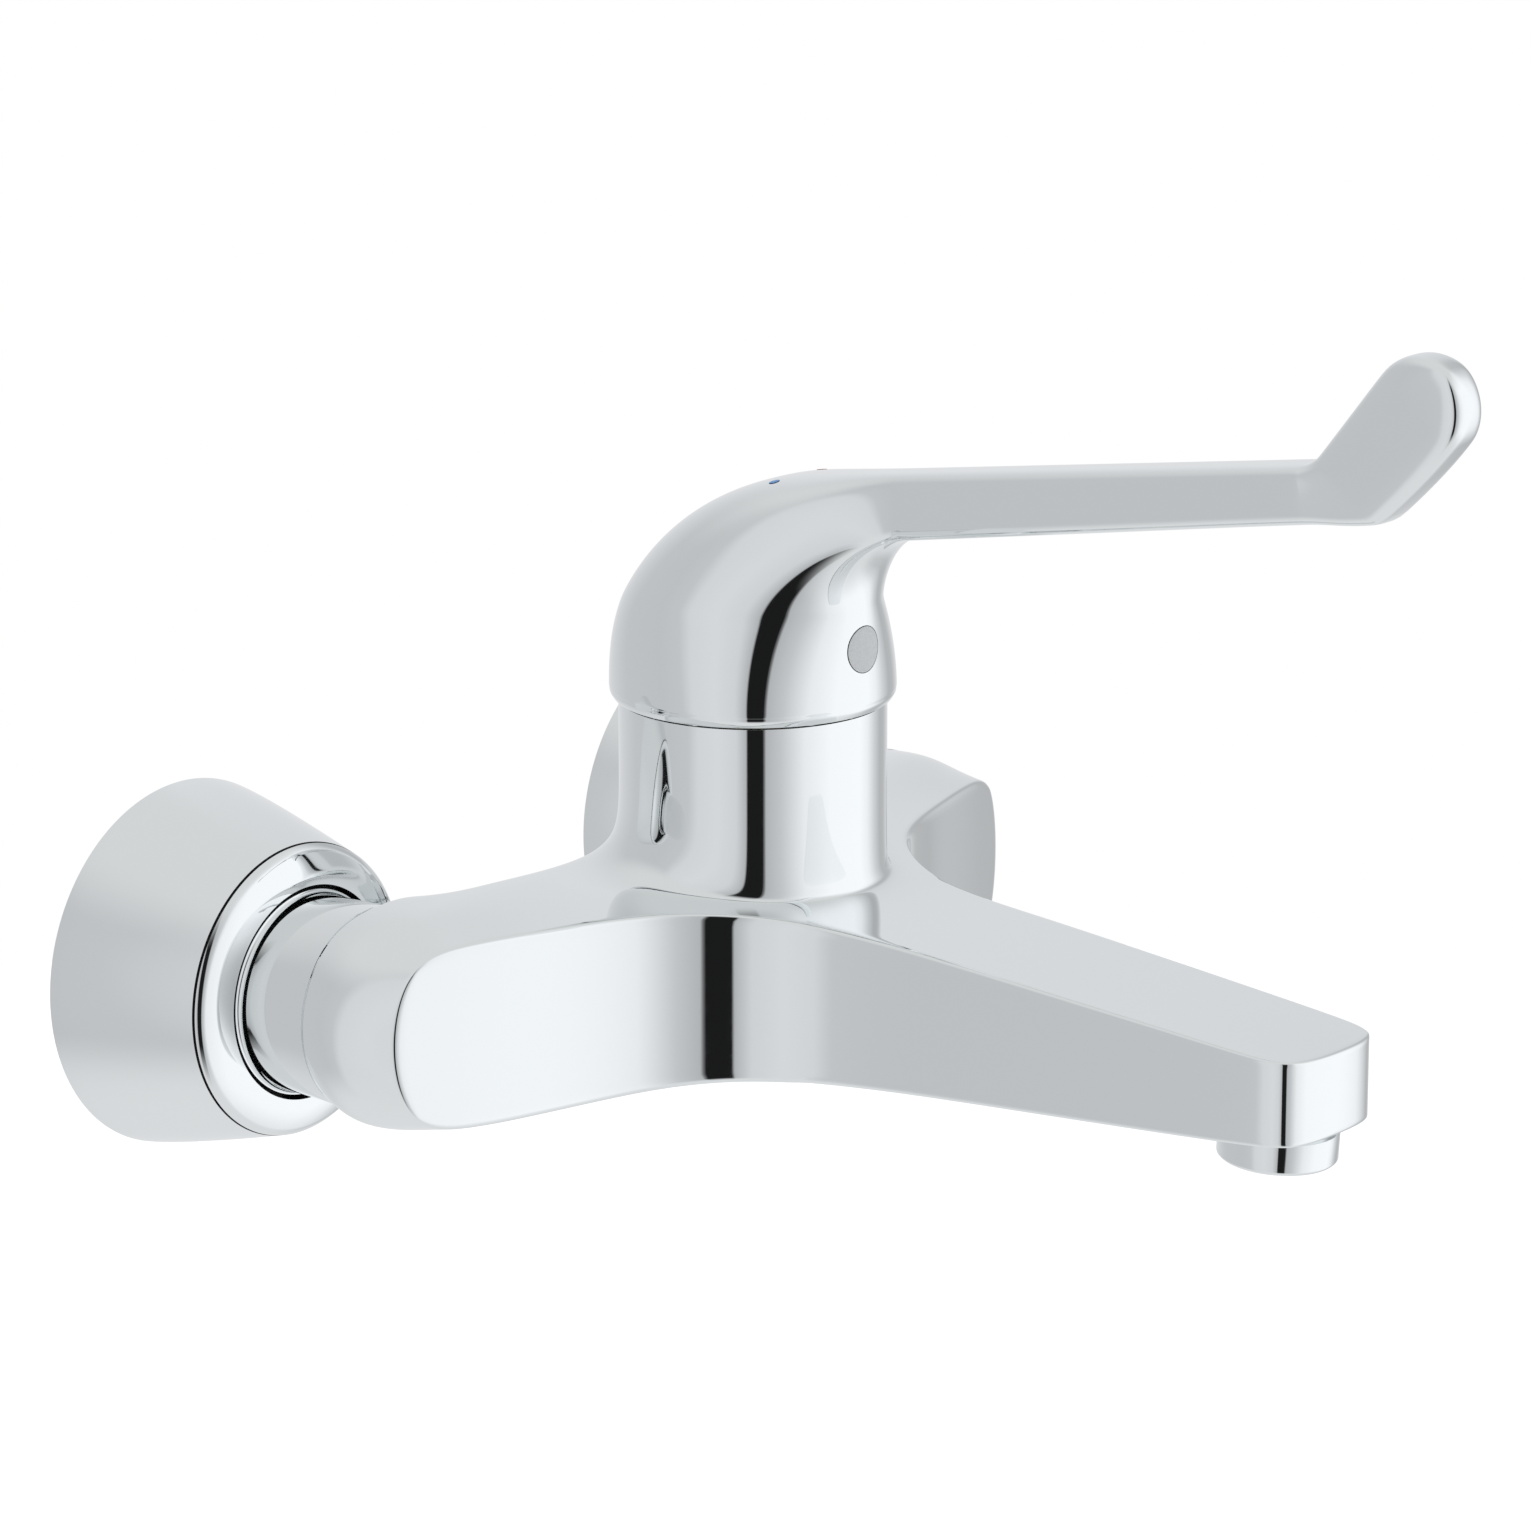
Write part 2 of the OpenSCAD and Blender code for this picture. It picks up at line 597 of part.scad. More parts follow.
lever_rings = concat(hood_rings, fan_rings, bar_rings, bend_rings, paddle_rings, tip_rings);
ring_sides = 32;
function ring_points(ring) = [for (i = [0 : ring_sides - 1])
    let (a = 360 * i / ring_sides)
    let (up = signed_pow(sin(a), 2 / ring[4]))
    let (x = ring[3] * signed_pow(cos(a), 2 / ring[4]) * (1 + ring[5] * up) / egg_span(ring[5]))
    let (at = ring[0] + ring[1] * ring[2] * up)
    [x, -column_reach - at.x, at.y]];

// A closed skin over a row of rings with equal numbers of points
module ring_skin(rings, sides) {
    count = len(rings);
    points = [for (ring = rings) each ring];
    faces = concat(
        [[for (i = [0 : sides - 1]) i]],
        [[for (i = [sides - 1 : -1 : 0]) (count - 1) * sides + i]],
        [for (k = [0 : count - 2]) for (i = [0 : sides - 1])
            let (a = k * sides + i)
            let (b = k * sides + (i + 1) % sides)
            each [[a, a + sides, b], [b, a + sides, b + sides]]]
    );
    polyhedron(points, faces);
}

// Local z becomes the direction out of the wall, at an inlet
module at_inlet(side) translate([side * inlet_x, 0, 0]) rotate([90, 0, 0]) children();
// A side view drawn as (distance from the wall, height), given a width along x
module across(width) rotate([90, 0, -90]) linear_extrude(width, center = true) children();
// Local z along the column's axis
module at_column() translate([0, -column_reach, 0]) children();
// Local z along the aerator's axis, zero on the spout's underside
module at_aerator() translate([0, -aerator_reach, aerator_z]) rotate([-aerator_tilt, 0, 0]) children();
module tube(outer, inner, from, to) translate([0, 0, from]) difference() {
    cylinder(h = to - from, r = outer);
    translate([0, 0, -over]) cylinder(h = to - from + 2 * over, r = inner);
}

// Plan of the middle of the body and the spout
module half_plan() difference() {
    polygon(concat(
        [[0, -arm_back_reach], [fillet_start.x, -arm_back_reach], fillet_start, fillet_centre, fillet_end],
        arc([side_tip.x + nose_r, side_tip.y], nose_r, 180, 270, 8),
        [[0, -spout_reach]]));
    translate(fillet_centre) circle(spout_fillet_r, $fn = 128);
}
module body_plan() union() {
    half_plan();
    mirror([1, 0]) half_plan();
}
module body_side() polygon(concat(
    arc([arm_back_reach + back_round, arm_ridge - back_round], back_round, 180, 90, 6),
    [[column_reach, arm_top], [spout_root_reach, spout_root_top], [spout_reach, spout_tip_top],
     [spout_reach, -spout_tip_bottom], [spout_root_reach, -spout_root_bottom],
     [-fillet_start.y, -arm_bottom]],
    arc([arm_back_reach + back_round, back_round - arm_bottom], back_round, 270, 180, 6)));
module body_middle() intersection() {
    translate([0, 0, -arm_bottom - over]) linear_extrude(arm_bottom + arm_ridge + 2 * over) body_plan();
    across(inlet_spacing) body_side();
}

// Front panel of an arm, its outer end rounded
panel_square = 2.6;
module panel_outline() polygon(concat(
    [[panel_length, -arm_bottom], [panel_length, arm_top]],
    [for (a = [90 : -9 : -90])
        [panel_round * (1 - pow(cos(a), 2 / panel_square)),
         mix(-arm_bottom, arm_top, (1 + signed_pow(sin(a), 2 / panel_square)) / 2)]]));
module arm_root() polygon(concat(
    [[-fillet_start.y, -arm_bottom], [-fillet_start.y, arm_top]],
    arc([arm_back_reach + back_round, arm_ridge - back_round], back_round, 90, 180, 6),
    arc([arm_back_reach + back_round, back_round - arm_bottom], back_round, 180, 270, 6)));
belly_step = 1.4;
belly_end = 21;
belly_start = asin((neck_reach + belly_step - elbow_reach) / elbow_r);
belly = concat([[nut_r, neck_reach]], arc([0, elbow_reach], elbow_r, belly_start, belly_end, 5));
module left_arm() hull() {
    at_inlet(-1) for (i = [0 : len(belly) - 2]) translate([0, 0, belly[i].y])
        cylinder(h = belly[i + 1].y - belly[i].y, r1 = belly[i].x, r2 = belly[i + 1].x, $fn = 48);
    translate([panel_end.x, panel_end.y, 0]) rotate([90, 0, -panel_angle])
        translate([0, 0, -skin]) linear_extrude(skin) panel_outline();
    translate([fillet_start.x, 0, 0]) across(skin) arm_root();
}

// Fillet round the column's foot, kept over the arms
module column_fillet() intersection() {
    at_column() rotate_extrude() polygon(concat(
        [[column_r - over, arm_top - over], [column_r + column_fillet_r, arm_top - over]],
        arc([column_r + column_fillet_r, arm_top + column_fillet_r], column_fillet_r, 270, 180, 8),
        [[column_r - over, arm_top + column_fillet_r]]));
    translate([-column_r - column_fillet_r, -column_reach - back_round / 2, 0])
        cube([2 * (column_r + column_fillet_r), column_reach - arm_back_reach, column_top]);
}

// Waterways from an inlet up to the cartridge's floor
module inlet_way(side) {
    port = [side * abs(ports[0].x), ports[0].y - column_reach];
    start = [side * inlet_x, bore_overlap - tail_end];
    run = port - start;
    at_inlet(side) translate([0, 0, neck_reach - over])
        cylinder(h = tail_depth + over + fit_gap, r = neck_bore_r);
    translate([start.x, start.y, 0]) rotate([0, 90, atan2(run.y, run.x)])
        cylinder(h = norm(run) + port_r / 2, r = inlet_way_r);
    translate([port.x, port.y, 0]) cylinder(h = cartridge_floor + over, r = port_r);
}
module outlet_way() {
    port = [0, ports[2].y - column_reach];
    translate([0, port.y, spout_way_z]) cylinder(h = cartridge_floor, r = port_r);
    translate([0, port.y + port_r / 2, spout_way_z]) rotate([90, 0, 0])
        cylinder(h = aerator_reach + port.y + port_r, r = spout_way_r);
    at_aerator() translate([0, 0, -over]) cylinder(h = aerator_bore_h + over, r = aerator_bore_r);
    at_aerator() cylinder(h = aerator_bore_h + spout_way_r, r = spout_way_r);
}

module body_casting() color(chrome) difference() {
    union() {
        left_arm();
        mirror([1, 0, 0]) left_arm();
        body_middle();
        at_column() cylinder(h = column_top, r = column_r);
        column_fillet();
    }
    at_column() translate([0, 0, cartridge_floor]) cylinder(h = column_top, r = cartridge_r);
    at_column() translate([0, 0, housing_shoulder]) cylinder(h = column_top, r = clamp_bore_r);
    inlet_way(-1);
    inlet_way(1);
    outlet_way();
}

module s_union(side) color(chrome) at_inlet(side) difference() {
    flange_end = flange_start + flange_h;
    union() {
        translate([0, union_offset, -wall_thread_length])
            cylinder(h = wall_thread_length + flange_end, r = wall_thread_r);
        translate([0, 0, flange_start]) cylinder(h = union_length - flange_start, r = union_thread_r);
        translate([0, union_offset / 2, flange_start])
            cylinder(h = flange_h, r = union_thread_r + union_offset / 2 + flange_rim);
    }
    translate([0, union_offset, -wall_thread_length - over])
        cylinder(h = wall_thread_length + over + flange_end, r = union_bore_r);
    translate([0, 0, flange_end - bore_overlap]) cylinder(h = union_length, r = union_bore_r);
}

module escutcheon(side) color(chrome) at_inlet(side) rotate_extrude($fn = 128) polygon(concat(
    [[escutcheon_r, 0]],
    [for (i = [0 : 10])
        let (t = i / 10)
        [mix(escutcheon_rim_r, hole_r, t), escutcheon_depth + escutcheon_bulge * sin(bulge_turn * t)]],
    [[hole_r, nut_collar_back],
     [inner_rim_r, nut_collar_back],
     [escutcheon_rim_r - escutcheon_wall, escutcheon_depth - escutcheon_wall],
     [escutcheon_r - escutcheon_wall, 0]]));

module grip_ring(side) color(rubber) at_inlet(side)
    tube((hole_r + inner_rim_r) / 2, nut_r + fit_gap, nut_collar_back - grip_h, nut_collar_back - fit_gap);

module union_nut(side) color(chrome) at_inlet(side) difference() {
    union() {
        translate([0, 0, nut_back]) cylinder(h = nut_front - nut_back, r = nut_r);
        translate([0, 0, nut_collar_back]) cylinder(h = nut_collar_front - nut_collar_back, r = nut_collar_r);
    }
    translate([0, 0, nut_back - over]) cylinder(h = nut_lip - nut_back + over, r = union_thread_r + fit_gap);
    translate([0, 0, nut_back]) cylinder(h = nut_front, r = tail_r + fit_gap);
}

// Rings of strainer holes: how many, and on what radius
strainer_rings = [[1, 0], [6, 2.6], [12, 5.1]];
module strainer_washer(side) color(rubber) at_inlet(side) difference() {
    translate([0, 0, union_length + fit_gap]) cylinder(h = washer_thickness - 2 * fit_gap, r = washer_r);
    for (ring = strainer_rings) for (i = [1 : ring[0]])
        rotate([0, 0, 360 * i / ring[0]]) translate([ring[1], 0, union_length - over])
            cylinder(h = washer_thickness + 2 * over, r = strainer_hole_r, $fn = 24);
}

module tail_piece(side) color(brass) at_inlet(side) difference() {
    union() {
        translate([0, 0, washer_end]) cylinder(h = tail_collar, r = washer_r);
        translate([0, 0, washer_end]) cylinder(h = tail_end - washer_end, r = tail_r);
    }
    translate([0, 0, washer_end - over])
        cylinder(h = valve_start - washer_end + 2 * over, r = tail_bore_r - tail_step);
    translate([0, 0, valve_start]) cylinder(h = tail_end, r = tail_bore_r);
}

module check_valve_body(side) color(plastic_white) at_inlet(side) difference() {
    translate([0, 0, valve_start + fit_gap]) cylinder(h = valve_length - fit_gap, r = valve_r);
    translate([0, 0, valve_start - over]) cylinder(h = seat_h + 2 * over, r = seat_r);
    translate([0, 0, valve_start + seat_h])
        cylinder(h = valve_length - seat_h - guide_h, r = valve_r - valve_wall);
    cylinder(h = valve_end + over, r = stem_r + turn_gap);
    for (a = [45 : 90 : 315]) rotate([0, 0, a])
        translate([(valve_r - valve_wall + stem_r) / 2, 0, valve_start + seat_h])
            cylinder(h = valve_length, r = guide_hole_r, $fn = 32);
}

module check_valve_poppet(side) color(plastic_grey) at_inlet(side) {
    translate([0, 0, poppet_start]) cylinder(h = poppet_head, r = poppet_r);
    translate([0, 0, poppet_start]) cylinder(h = stem_end - poppet_start, r = stem_r);
}

coil_steps = 12;
coil_sides = 6;
coil_points = [for (k = [0 : spring_turns * coil_steps])
    let (turn = 360 * k / coil_steps)
    let (z = mix(spring_start, spring_end, k / (spring_turns * coil_steps)))
    [for (i = [0 : coil_sides - 1])
        let (a = -360 * i / coil_sides)
        let (r = spring_r + spring_wire / 2 * cos(a))
        [r * cos(turn), r * sin(turn), z + spring_wire / 2 * sin(a)]]];
module check_valve_spring(side) color(steel) at_inlet(side) ring_skin(coil_points, coil_sides);

module cartridge_base() color(plastic_grey) at_column() difference() {
    translate([0, 0, base_z]) cylinder(h = base_h, r = housing_r);
    for (p = ports) translate([p.x, p.y, base_z - over]) cylinder(h = base_h + 2 * over, r = port_r);
    for (p = ports) translate([p.x, p.y, 0])
        tube(port_r + seal_lip + seal_w, port_r + seal_lip, base_z - over, base_z + seal_h);
}

module port_seals() color(rubber) at_column() for (p = ports) translate([p.x, p.y, 0])
    tube(port_r + seal_lip + seal_w - fit_gap, port_r + seal_lip + fit_gap,
        cartridge_floor, base_z + seal_h - fit_gap);

module fixed_disc() color(ceramic) at_column() difference() {
    translate([0, 0, fixed_disc_z]) cylinder(h = disc_h, r = housing_bore_r - run_gap);
    for (p = ports) translate([p.x, p.y, fixed_disc_z - over]) cylinder(h = disc_h + 2 * over, r = port_r);
}

module moving_disc() color(ceramic) at_column() difference() {
    translate([0, 0, moving_disc_z]) cylinder(h = disc_h, r = moving_disc_r);
    translate([0, disc_pocket_shift, moving_disc_z - over])
        cylinder(h = disc_h / 2 + over, r = disc_pocket_r);
}

module disc_carrier() color(plastic_white) at_column() difference() {
    intersection() {
        translate([0, 0, carrier_z]) cylinder(h = carrier_h, r = moving_disc_r);
        translate([-guide_w, -moving_disc_r, carrier_z]) cube([2 * guide_w, 2 * moving_disc_r, carrier_h]);
    }
    translate([-slot_w / 2, -drive_r - drive_slack, carrier_z + drive_rest])
        cube([slot_w, 2 * (drive_r + drive_slack), carrier_h]);
}

module cartridge_housing() color(plastic_grey) at_column() rotate_extrude() polygon([
    [housing_r, fixed_disc_z], [housing_r, housing_shoulder - fit_gap], [hub_r, housing_shoulder - fit_gap],
    [hub_r, hub_top], [hub_bore_r, hub_top], [hub_bore_r, drum_top + run_gap],
    [housing_bore_r, drum_top + run_gap], [housing_bore_r, fixed_disc_z]]);

module clamp_ring() color(brass) at_column() difference() {
    translate([0, 0, housing_shoulder]) cylinder(h = clamp_top - housing_shoulder, r = clamp_r);
    translate([0, 0, housing_shoulder - over]) cylinder(h = column_top, r = hub_r + fit_gap);
    for (a = [0 : 60 : 300]) rotate([0, 0, a])
        translate([clamp_r - clamp_notch, -clamp_notch, clamp_top - clamp_notch])
            cube([2 * clamp_notch, 2 * clamp_notch, 2 * clamp_notch]);
}

module rotor() color(plastic_white) at_column() difference() {
    union() {
        translate([0, 0, drum_z]) cylinder(h = drum_h, r = drum_r);
        translate([0, 0, drum_z]) cylinder(h = neck_top - drum_z, r = rotor_neck_r);
        intersection() {
            translate([0, 0, carrier_z + drive_rest]) cylinder(h = drum_z - carrier_z, r = drum_r);
            for (side = [-1, 1])
                translate([side * (guide_w + run_gap + guide_t / 2) - guide_t / 2, -guide_l / 2, carrier_z])
                    cube([guide_t, guide_l, drum_z - carrier_z + over]);
        }
    }
    translate([-slot_w / 2, -slot_front, drum_z - over]) cube([slot_w, slot_front + slot_back, neck_top]);
    translate([-drum_r, 0, pivot_z]) rotate([0, 90, 0]) cylinder(h = 2 * drum_r, r = pivot_pin_r + fit_gap);
}

module temperature_limiter() color(mark_red) at_column()
    tube(hub_r, rotor_neck_r + fit_gap, limiter_z, limiter_z + limiter_h);

module pivot_pin() color(steel) at_column() translate([-rotor_neck_r + over, 0, pivot_z])
    rotate([0, 90, 0]) cylinder(h = 2 * (rotor_neck_r - over), r = pivot_pin_r);

module spindle() color(brass) at_column() difference() {
    union() {
        translate([-spindle_w / 2, -spindle_d / 2, pivot_z - shank_drop])
            cube([spindle_w, spindle_d, spindle_length + shank_drop]);
        translate([-spindle_w / 2, -shank_d / 2, pivot_z - drive_arm]) cube([spindle_w, shank_d, drive_arm]);
        translate([-spindle_w / 2, 0, pivot_z - drive_arm]) rotate([0, 90, 0])
            cylinder(h = spindle_w, r = drive_r);
    }
    translate([-spindle_w, 0, pivot_z]) rotate([0, 90, 0])
        cylinder(h = 2 * spindle_w, r = pivot_pin_r + turn_gap);
}

// Space inside the hood, left clear for the column's top and the cartridge
module hood_hollow() rotate_extrude() polygon(concat(
    [[0, rim_z - over], [rim_inner_r, rim_z - over], [rim_inner_r, rim_z + over / 2]],
    [for (a = [0 : 9 : 90]) [hollow_r * cos(a), dome_z + hollow_h * sin(a)]]));

// A colour inlay on the hood's top, and with a gap and some height the pocket for it
module colour_mark(side, gap = 0, height = 0)
    translate([side * mark_x, -mark_at.x, mark_at.y - mark_l - gap])
        cylinder(h = mark_l + gap + height, r = mark_r + gap, $fn = 24);

module lever() color(chrome) difference() {
    union() {
        difference() {
            ring_skin([for (ring = lever_rings) ring_points(ring)], ring_sides);
            at_column() hood_hollow();
        }
        at_column() translate([-boss_w / 2, -boss_d / 2, boss_z])
            cube([boss_w, boss_d, dome_z + hollow_h + over - boss_z]);
    }
    at_column() translate([-spindle_w / 2 - fit_gap, -spindle_d / 2 - fit_gap, boss_z - over])
        cube([spindle_w + 2 * fit_gap, spindle_d + 2 * fit_gap, spindle_top - boss_z + over + fit_gap]);
    at_column() translate([0, 0, plug_z]) rotate([90, 0, 0]) cylinder(h = hood_r, r = grub_r + fit_gap);
    at_column() translate([0, 0, plug_z]) rotate([90, 0, 0]) translate([0, 0, plug_face - plug_l])
        cylinder(h = 2 * plug_l, r = plug_r + fit_gap);
    for (side = [-1, 1]) at_column() colour_mark(side, fit_gap, mark_l);
}

module grub_screw() color(steel) at_column() translate([0, 0, plug_z]) rotate([90, 0, 0]) difference() {
    translate([0, 0, spindle_d / 2 + 2 * fit_gap]) cylinder(h = grub_l, r = grub_r);
    translate([0, 0, spindle_d / 2 + grub_l - key_depth])
        cylinder(h = 2 * key_depth, r = key_r, $fn = 6);
}

module index_plug() color(plug_grey) at_column() translate([0, 0, plug_z]) rotate([90, 0, 0])
    translate([0, 0, plug_face - plug_l + fit_gap]) cylinder(h = plug_l - fit_gap, r = plug_r);

module blue_mark() color(mark_blue) at_column() colour_mark(-1);
module red_mark() color(mark_red) at_column() colour_mark(1);

module aerator_housing() color(chrome) at_aerator() difference() {
    union() {
        translate([0, 0, -aerator_ring_h]) cylinder(h = aerator_ring_h - fit_gap, r = aerator_r);
        translate([0, 0, -aerator_ring_h])
            cylinder(h = aerator_ring_h + aerator_thread_l, r = aerator_thread_r);
    }
    translate([0, 0, -aerator_ring_h - over])
        cylinder(h = aerator_ring_h + aerator_thread_l + 2 * over, r = aerator_inner_r);
}

// Rings of spray holes in the aerator: how many, and on what radius
spray_rings = [[1, 0], [6, 2.4], [12, 4.8]];
module aerator_insert() color(plastic_white) at_aerator() difference() {
    translate([0, 0, insert_sink - aerator_ring_h])
        cylinder(h = aerator_ring_h + aerator_thread_l - insert_sink, r = aerator_inner_r - fit_gap);
    for (ring = spray_rings) for (i = [1 : ring[0]])
        rotate([0, 0, 360 * i / ring[0]]) translate([ring[1], 0, -aerator_ring_h])
            cylinder(h = aerator_ring_h + aerator_thread_l + over, r = spray_hole_r, $fn = 24);
}

module aerator_seal() color(rubber) at_aerator()
    tube(aerator_thread_r - fit_gap, aerator_thread_r - aerator_seal_w,
        aerator_thread_l + fit_gap, aerator_thread_l + fit_gap + aerator_seal_h);

body_casting();
s_union(-1);  // left_s_union
s_union(1);  // right_s_union
escutcheon(-1);  // left_escutcheon
escutcheon(1);  // right_escutcheon
grip_ring(-1);  // left_grip_ring
grip_ring(1);  // right_grip_ring
union_nut(-1);  // left_union_nut
union_nut(1);  // right_union_nut
strainer_washer(-1);  // left_strainer_washer
strainer_washer(1);  // right_strainer_washer
tail_piece(-1);  // left_tail_piece
tail_piece(1);  // right_tail_piece
check_valve_body(-1);  // left_check_valve_body
check_valve_body(1);  // right_check_valve_body
check_valve_poppet(-1);  // left_check_valve_poppet
check_valve_poppet(1);  // right_check_valve_poppet
check_valve_spring(-1);  // left_check_valve_spring
check_valve_spring(1);  // right_check_valve_spring
cartridge_base();
port_seals();
fixed_disc();
cartridge_housing();
clamp_ring();
rotor();
temperature_limiter();
pivot_pin();
moving_disc();
disc_carrier();
spindle();
lever();
grub_screw();
index_plug();
blue_mark();
red_mark();
aerator_housing();
aerator_insert();
aerator_seal();
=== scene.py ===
# Looks of a wall mounted elbow lever tap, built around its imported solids.
# Lengths are in millimetres in the making and turned into metres at the end of each piece.
import math

import bmesh
import bpy
from mathutils import Matrix, Vector


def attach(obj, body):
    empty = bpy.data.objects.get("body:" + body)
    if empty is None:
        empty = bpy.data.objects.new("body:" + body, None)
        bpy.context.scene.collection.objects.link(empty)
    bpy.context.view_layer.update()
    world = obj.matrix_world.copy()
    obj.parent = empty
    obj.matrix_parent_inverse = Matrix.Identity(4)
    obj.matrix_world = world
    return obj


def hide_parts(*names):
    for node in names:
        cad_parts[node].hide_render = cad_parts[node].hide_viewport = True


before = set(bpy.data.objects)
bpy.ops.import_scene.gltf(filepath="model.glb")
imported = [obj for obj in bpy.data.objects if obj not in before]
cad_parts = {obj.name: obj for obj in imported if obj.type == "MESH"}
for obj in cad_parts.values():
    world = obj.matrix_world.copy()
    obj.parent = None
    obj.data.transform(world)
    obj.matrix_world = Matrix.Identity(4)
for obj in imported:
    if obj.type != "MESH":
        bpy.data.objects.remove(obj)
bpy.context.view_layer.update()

MM = 0.001

# Wall connection
INLET_X = 75.0
ESCUTCHEON_R = 35.0
ESCUTCHEON_RIM_R = 27.9
ESCUTCHEON_DEPTH = 29.8
ESCUTCHEON_WALL = 2.0
ESCUTCHEON_UNDERCUT = 1.0
ESCUTCHEON_SIDES = 192
FLANK_CURVE = 1.15
FLANK_STEPS = 20
RIM_GROOVE = 0.55
GROOVE_BACK_R = ESCUTCHEON_RIM_R - 0.45
GROOVE_FRONT_R = ESCUTCHEON_RIM_R - 0.5
GROOVE_SHADE_R = ESCUTCHEON_RIM_R - 0.6
GROOVE_SLOPE = 0.02
FRONT_R = ESCUTCHEON_RIM_R - 0.15
# Each stretch of the front: its length, and the tilt of the skin at its two ends
FRONT_STRETCHES = ((1.3, 55, 42), (0.8, 42, 23), (6.0, 23, 4))
STRETCH_STEPS = 8
HOLE_R = 19.9
HOLE_SHADE_R = HOLE_R + 0.04
NUT_R = 18.7
NUT_FRONT_R = 19.1
NUT_COLLAR_R = 19.5
NUT_COLLAR_FRONT = 32.7
NUT_COLLAR_BACK = 29.2
NUT_HOLLOW = 1.3
NUT_BACK = 17.0
NUT_FRONT = 48.95
NUT_BORE_R = 13.25
NUT_SHADE_R = NUT_COLLAR_R - 0.03
NUT_HOLLOW_STEPS = 8
NUT_FLARE_STEPS = 6
NUT_SIDES = 160

# Body
NECK_Y = -49.1
ARM_BACK_Y = -50.7
PANEL_END = (-89.2, -68.2)
PANEL_ANGLE = math.radians(17.0)
SPOUT_FILLET_R = 44.0
SPOUT_FILLET_CENTRE = (-62.12, -122.49)
SPOUT_CAGE_SHARE = 1.016
SPOUT_CAGE_R = SPOUT_FILLET_R * SPOUT_CAGE_SHARE
SPOUT_Y = (-120.8, -134.0, -162.0, -189.0, -202.5)
SPOUT_HALF_W = (18.15, 17.7, 16.8, 15.7, 15.2)
CREST_Y = -113.0
COLUMN_Y = -78.0
COLUMN_R = 25.4
COLUMN_TOP = 49.5
COLUMN_WAIST = 35.5
MOUTH_BAND = 1.2
CLAMP_BORE_R = 22.05
CARTRIDGE_R = 20.0
CLAMP_SEAT = 43.5
CARTRIDGE_FLOOR = 16.0
BODY_LEVELS = 4
MIRROR_MERGE = 1e-3

# Aerator
AERATOR_Y = -200.8
AERATOR_Z = -10.03
AERATOR_TILT = math.radians(3.61)
AERATOR_R = 11.0
AERATOR_RING_H = 6.0
AERATOR_INNER_R = 8.1
AERATOR_THREAD_R = 9.5
AERATOR_THREAD_H = 4.0
AERATOR_BEVEL = 0.6
AERATOR_EDGE_R = 0.25
AERATOR_SIDES = 128
TURNED_SHARP_ANGLE = 28

# Hood and lever
HOOD_R = 27.2
RIM_Z = 49.9
RIM_R = 26.3
RIM_INNER_R = 25.8
DOME_Z = 52.0
DOME_H = 43.2
DOME_SIDE_H = 41.6
DOME_SHIFT = 22.6
HOOD_WALL = 2.2
HOLLOW_H = 28.2
FRONT_LEAN = 0.3
THROAT_R = 16.0
LEVER_RISE = math.radians(8.75)
LEVER_LENGTH = 126.0
BAR_ROOT_H = 13.5
BAR_TIP_H = 10.7
BAR_W = 12.6
BAR_SQUARE = 4.4
SQUARE_DELAY = 1.55
NECK_SWELL = -0.65
HOOD_EGG = 0.22
EGG_RISE = 1.8
EGG_FALL = 0.7
PADDLE_ANGLE = math.radians(52.0)
PADDLE_LENGTH = 30.4
PADDLE_W = 19.0
PADDLE_ROOT_W = 17.0
PADDLE_T = 10.0
BEND_R = 5.3
TIP_THINNING = 0.35
TIP_SQUARE = 3
ROUND = 2
LEVER_SIDES = 64
LEVER_LEVELS = 1
FAN_STEPS = 32
BAR_STEPS = 12
BEND_STEPS = 12
# Places of the rings: angles up the hollow and round the tip, shares of the hood and of the paddle
HOLLOW_DEGREES = (88, 80, 70, 60, 50, 40, 30, 20, 10, 0)
HOOD_SHARES = (0.0, 0.04, 0.1, 0.18, 0.28, 0.4, 0.52, 0.64, 0.76, 0.88)
PADDLE_SHARES = (0.25, 0.5, 0.75, 1.0)
TIP_DEGREES = (10, 20, 30, 40, 50, 59, 67, 74, 80, 85, 88)
# The hood's rim from its inner edge outwards: radius and height
RIM_PROFILE = ((RIM_INNER_R, RIM_Z + 0.6), (RIM_INNER_R, RIM_Z + 0.1), (RIM_INNER_R + 0.1, RIM_Z),
               (RIM_R - 0.1, RIM_Z), (RIM_R, RIM_Z + 0.08), (RIM_R + 0.45, RIM_Z + 0.75),
               (RIM_R + 0.85, RIM_Z + 1.4), (HOOD_R - 0.12, RIM_Z + 1.95))
BOSS_SIZE = (18.0, 20.0, 24.0)
BOSS_Z = 69.1
BOSS_BEVEL = 1.2
BOSS_BEVEL_STEPS = 2

# Plug and marks: bands, the ring of painted shade at the rim and the softened edge are shares of the radius
PLUG_Z = 62.8
PLUG_R = 4.5
MARK_X = 7.0
MARK_S = 11.0
MARK_R = 1.0
INLAY_SIDES = 64
INLAY_BANDS = (0.03, 0.03, 0.25, 0.25, 0.2)
INLAY_SHADE_SHARE = 0.96
INLAY_EDGE = 0.045
INLAY_PROUD = 0.07
INLAY_EDGE_PROUD = 0.02
INLAY_FOOT = -1.2
INLAY_SHARP_ANGLE = 40


def mix(a, b, t):
    return a + (b - a) * t


def signed_pow(v, e):
    return math.copysign(abs(v) ** e, v)


# Making of pieces

MERGE_DISTANCE = 1e-4
CORNER_SHARE = 0.45
CORNER_STEPS = 3


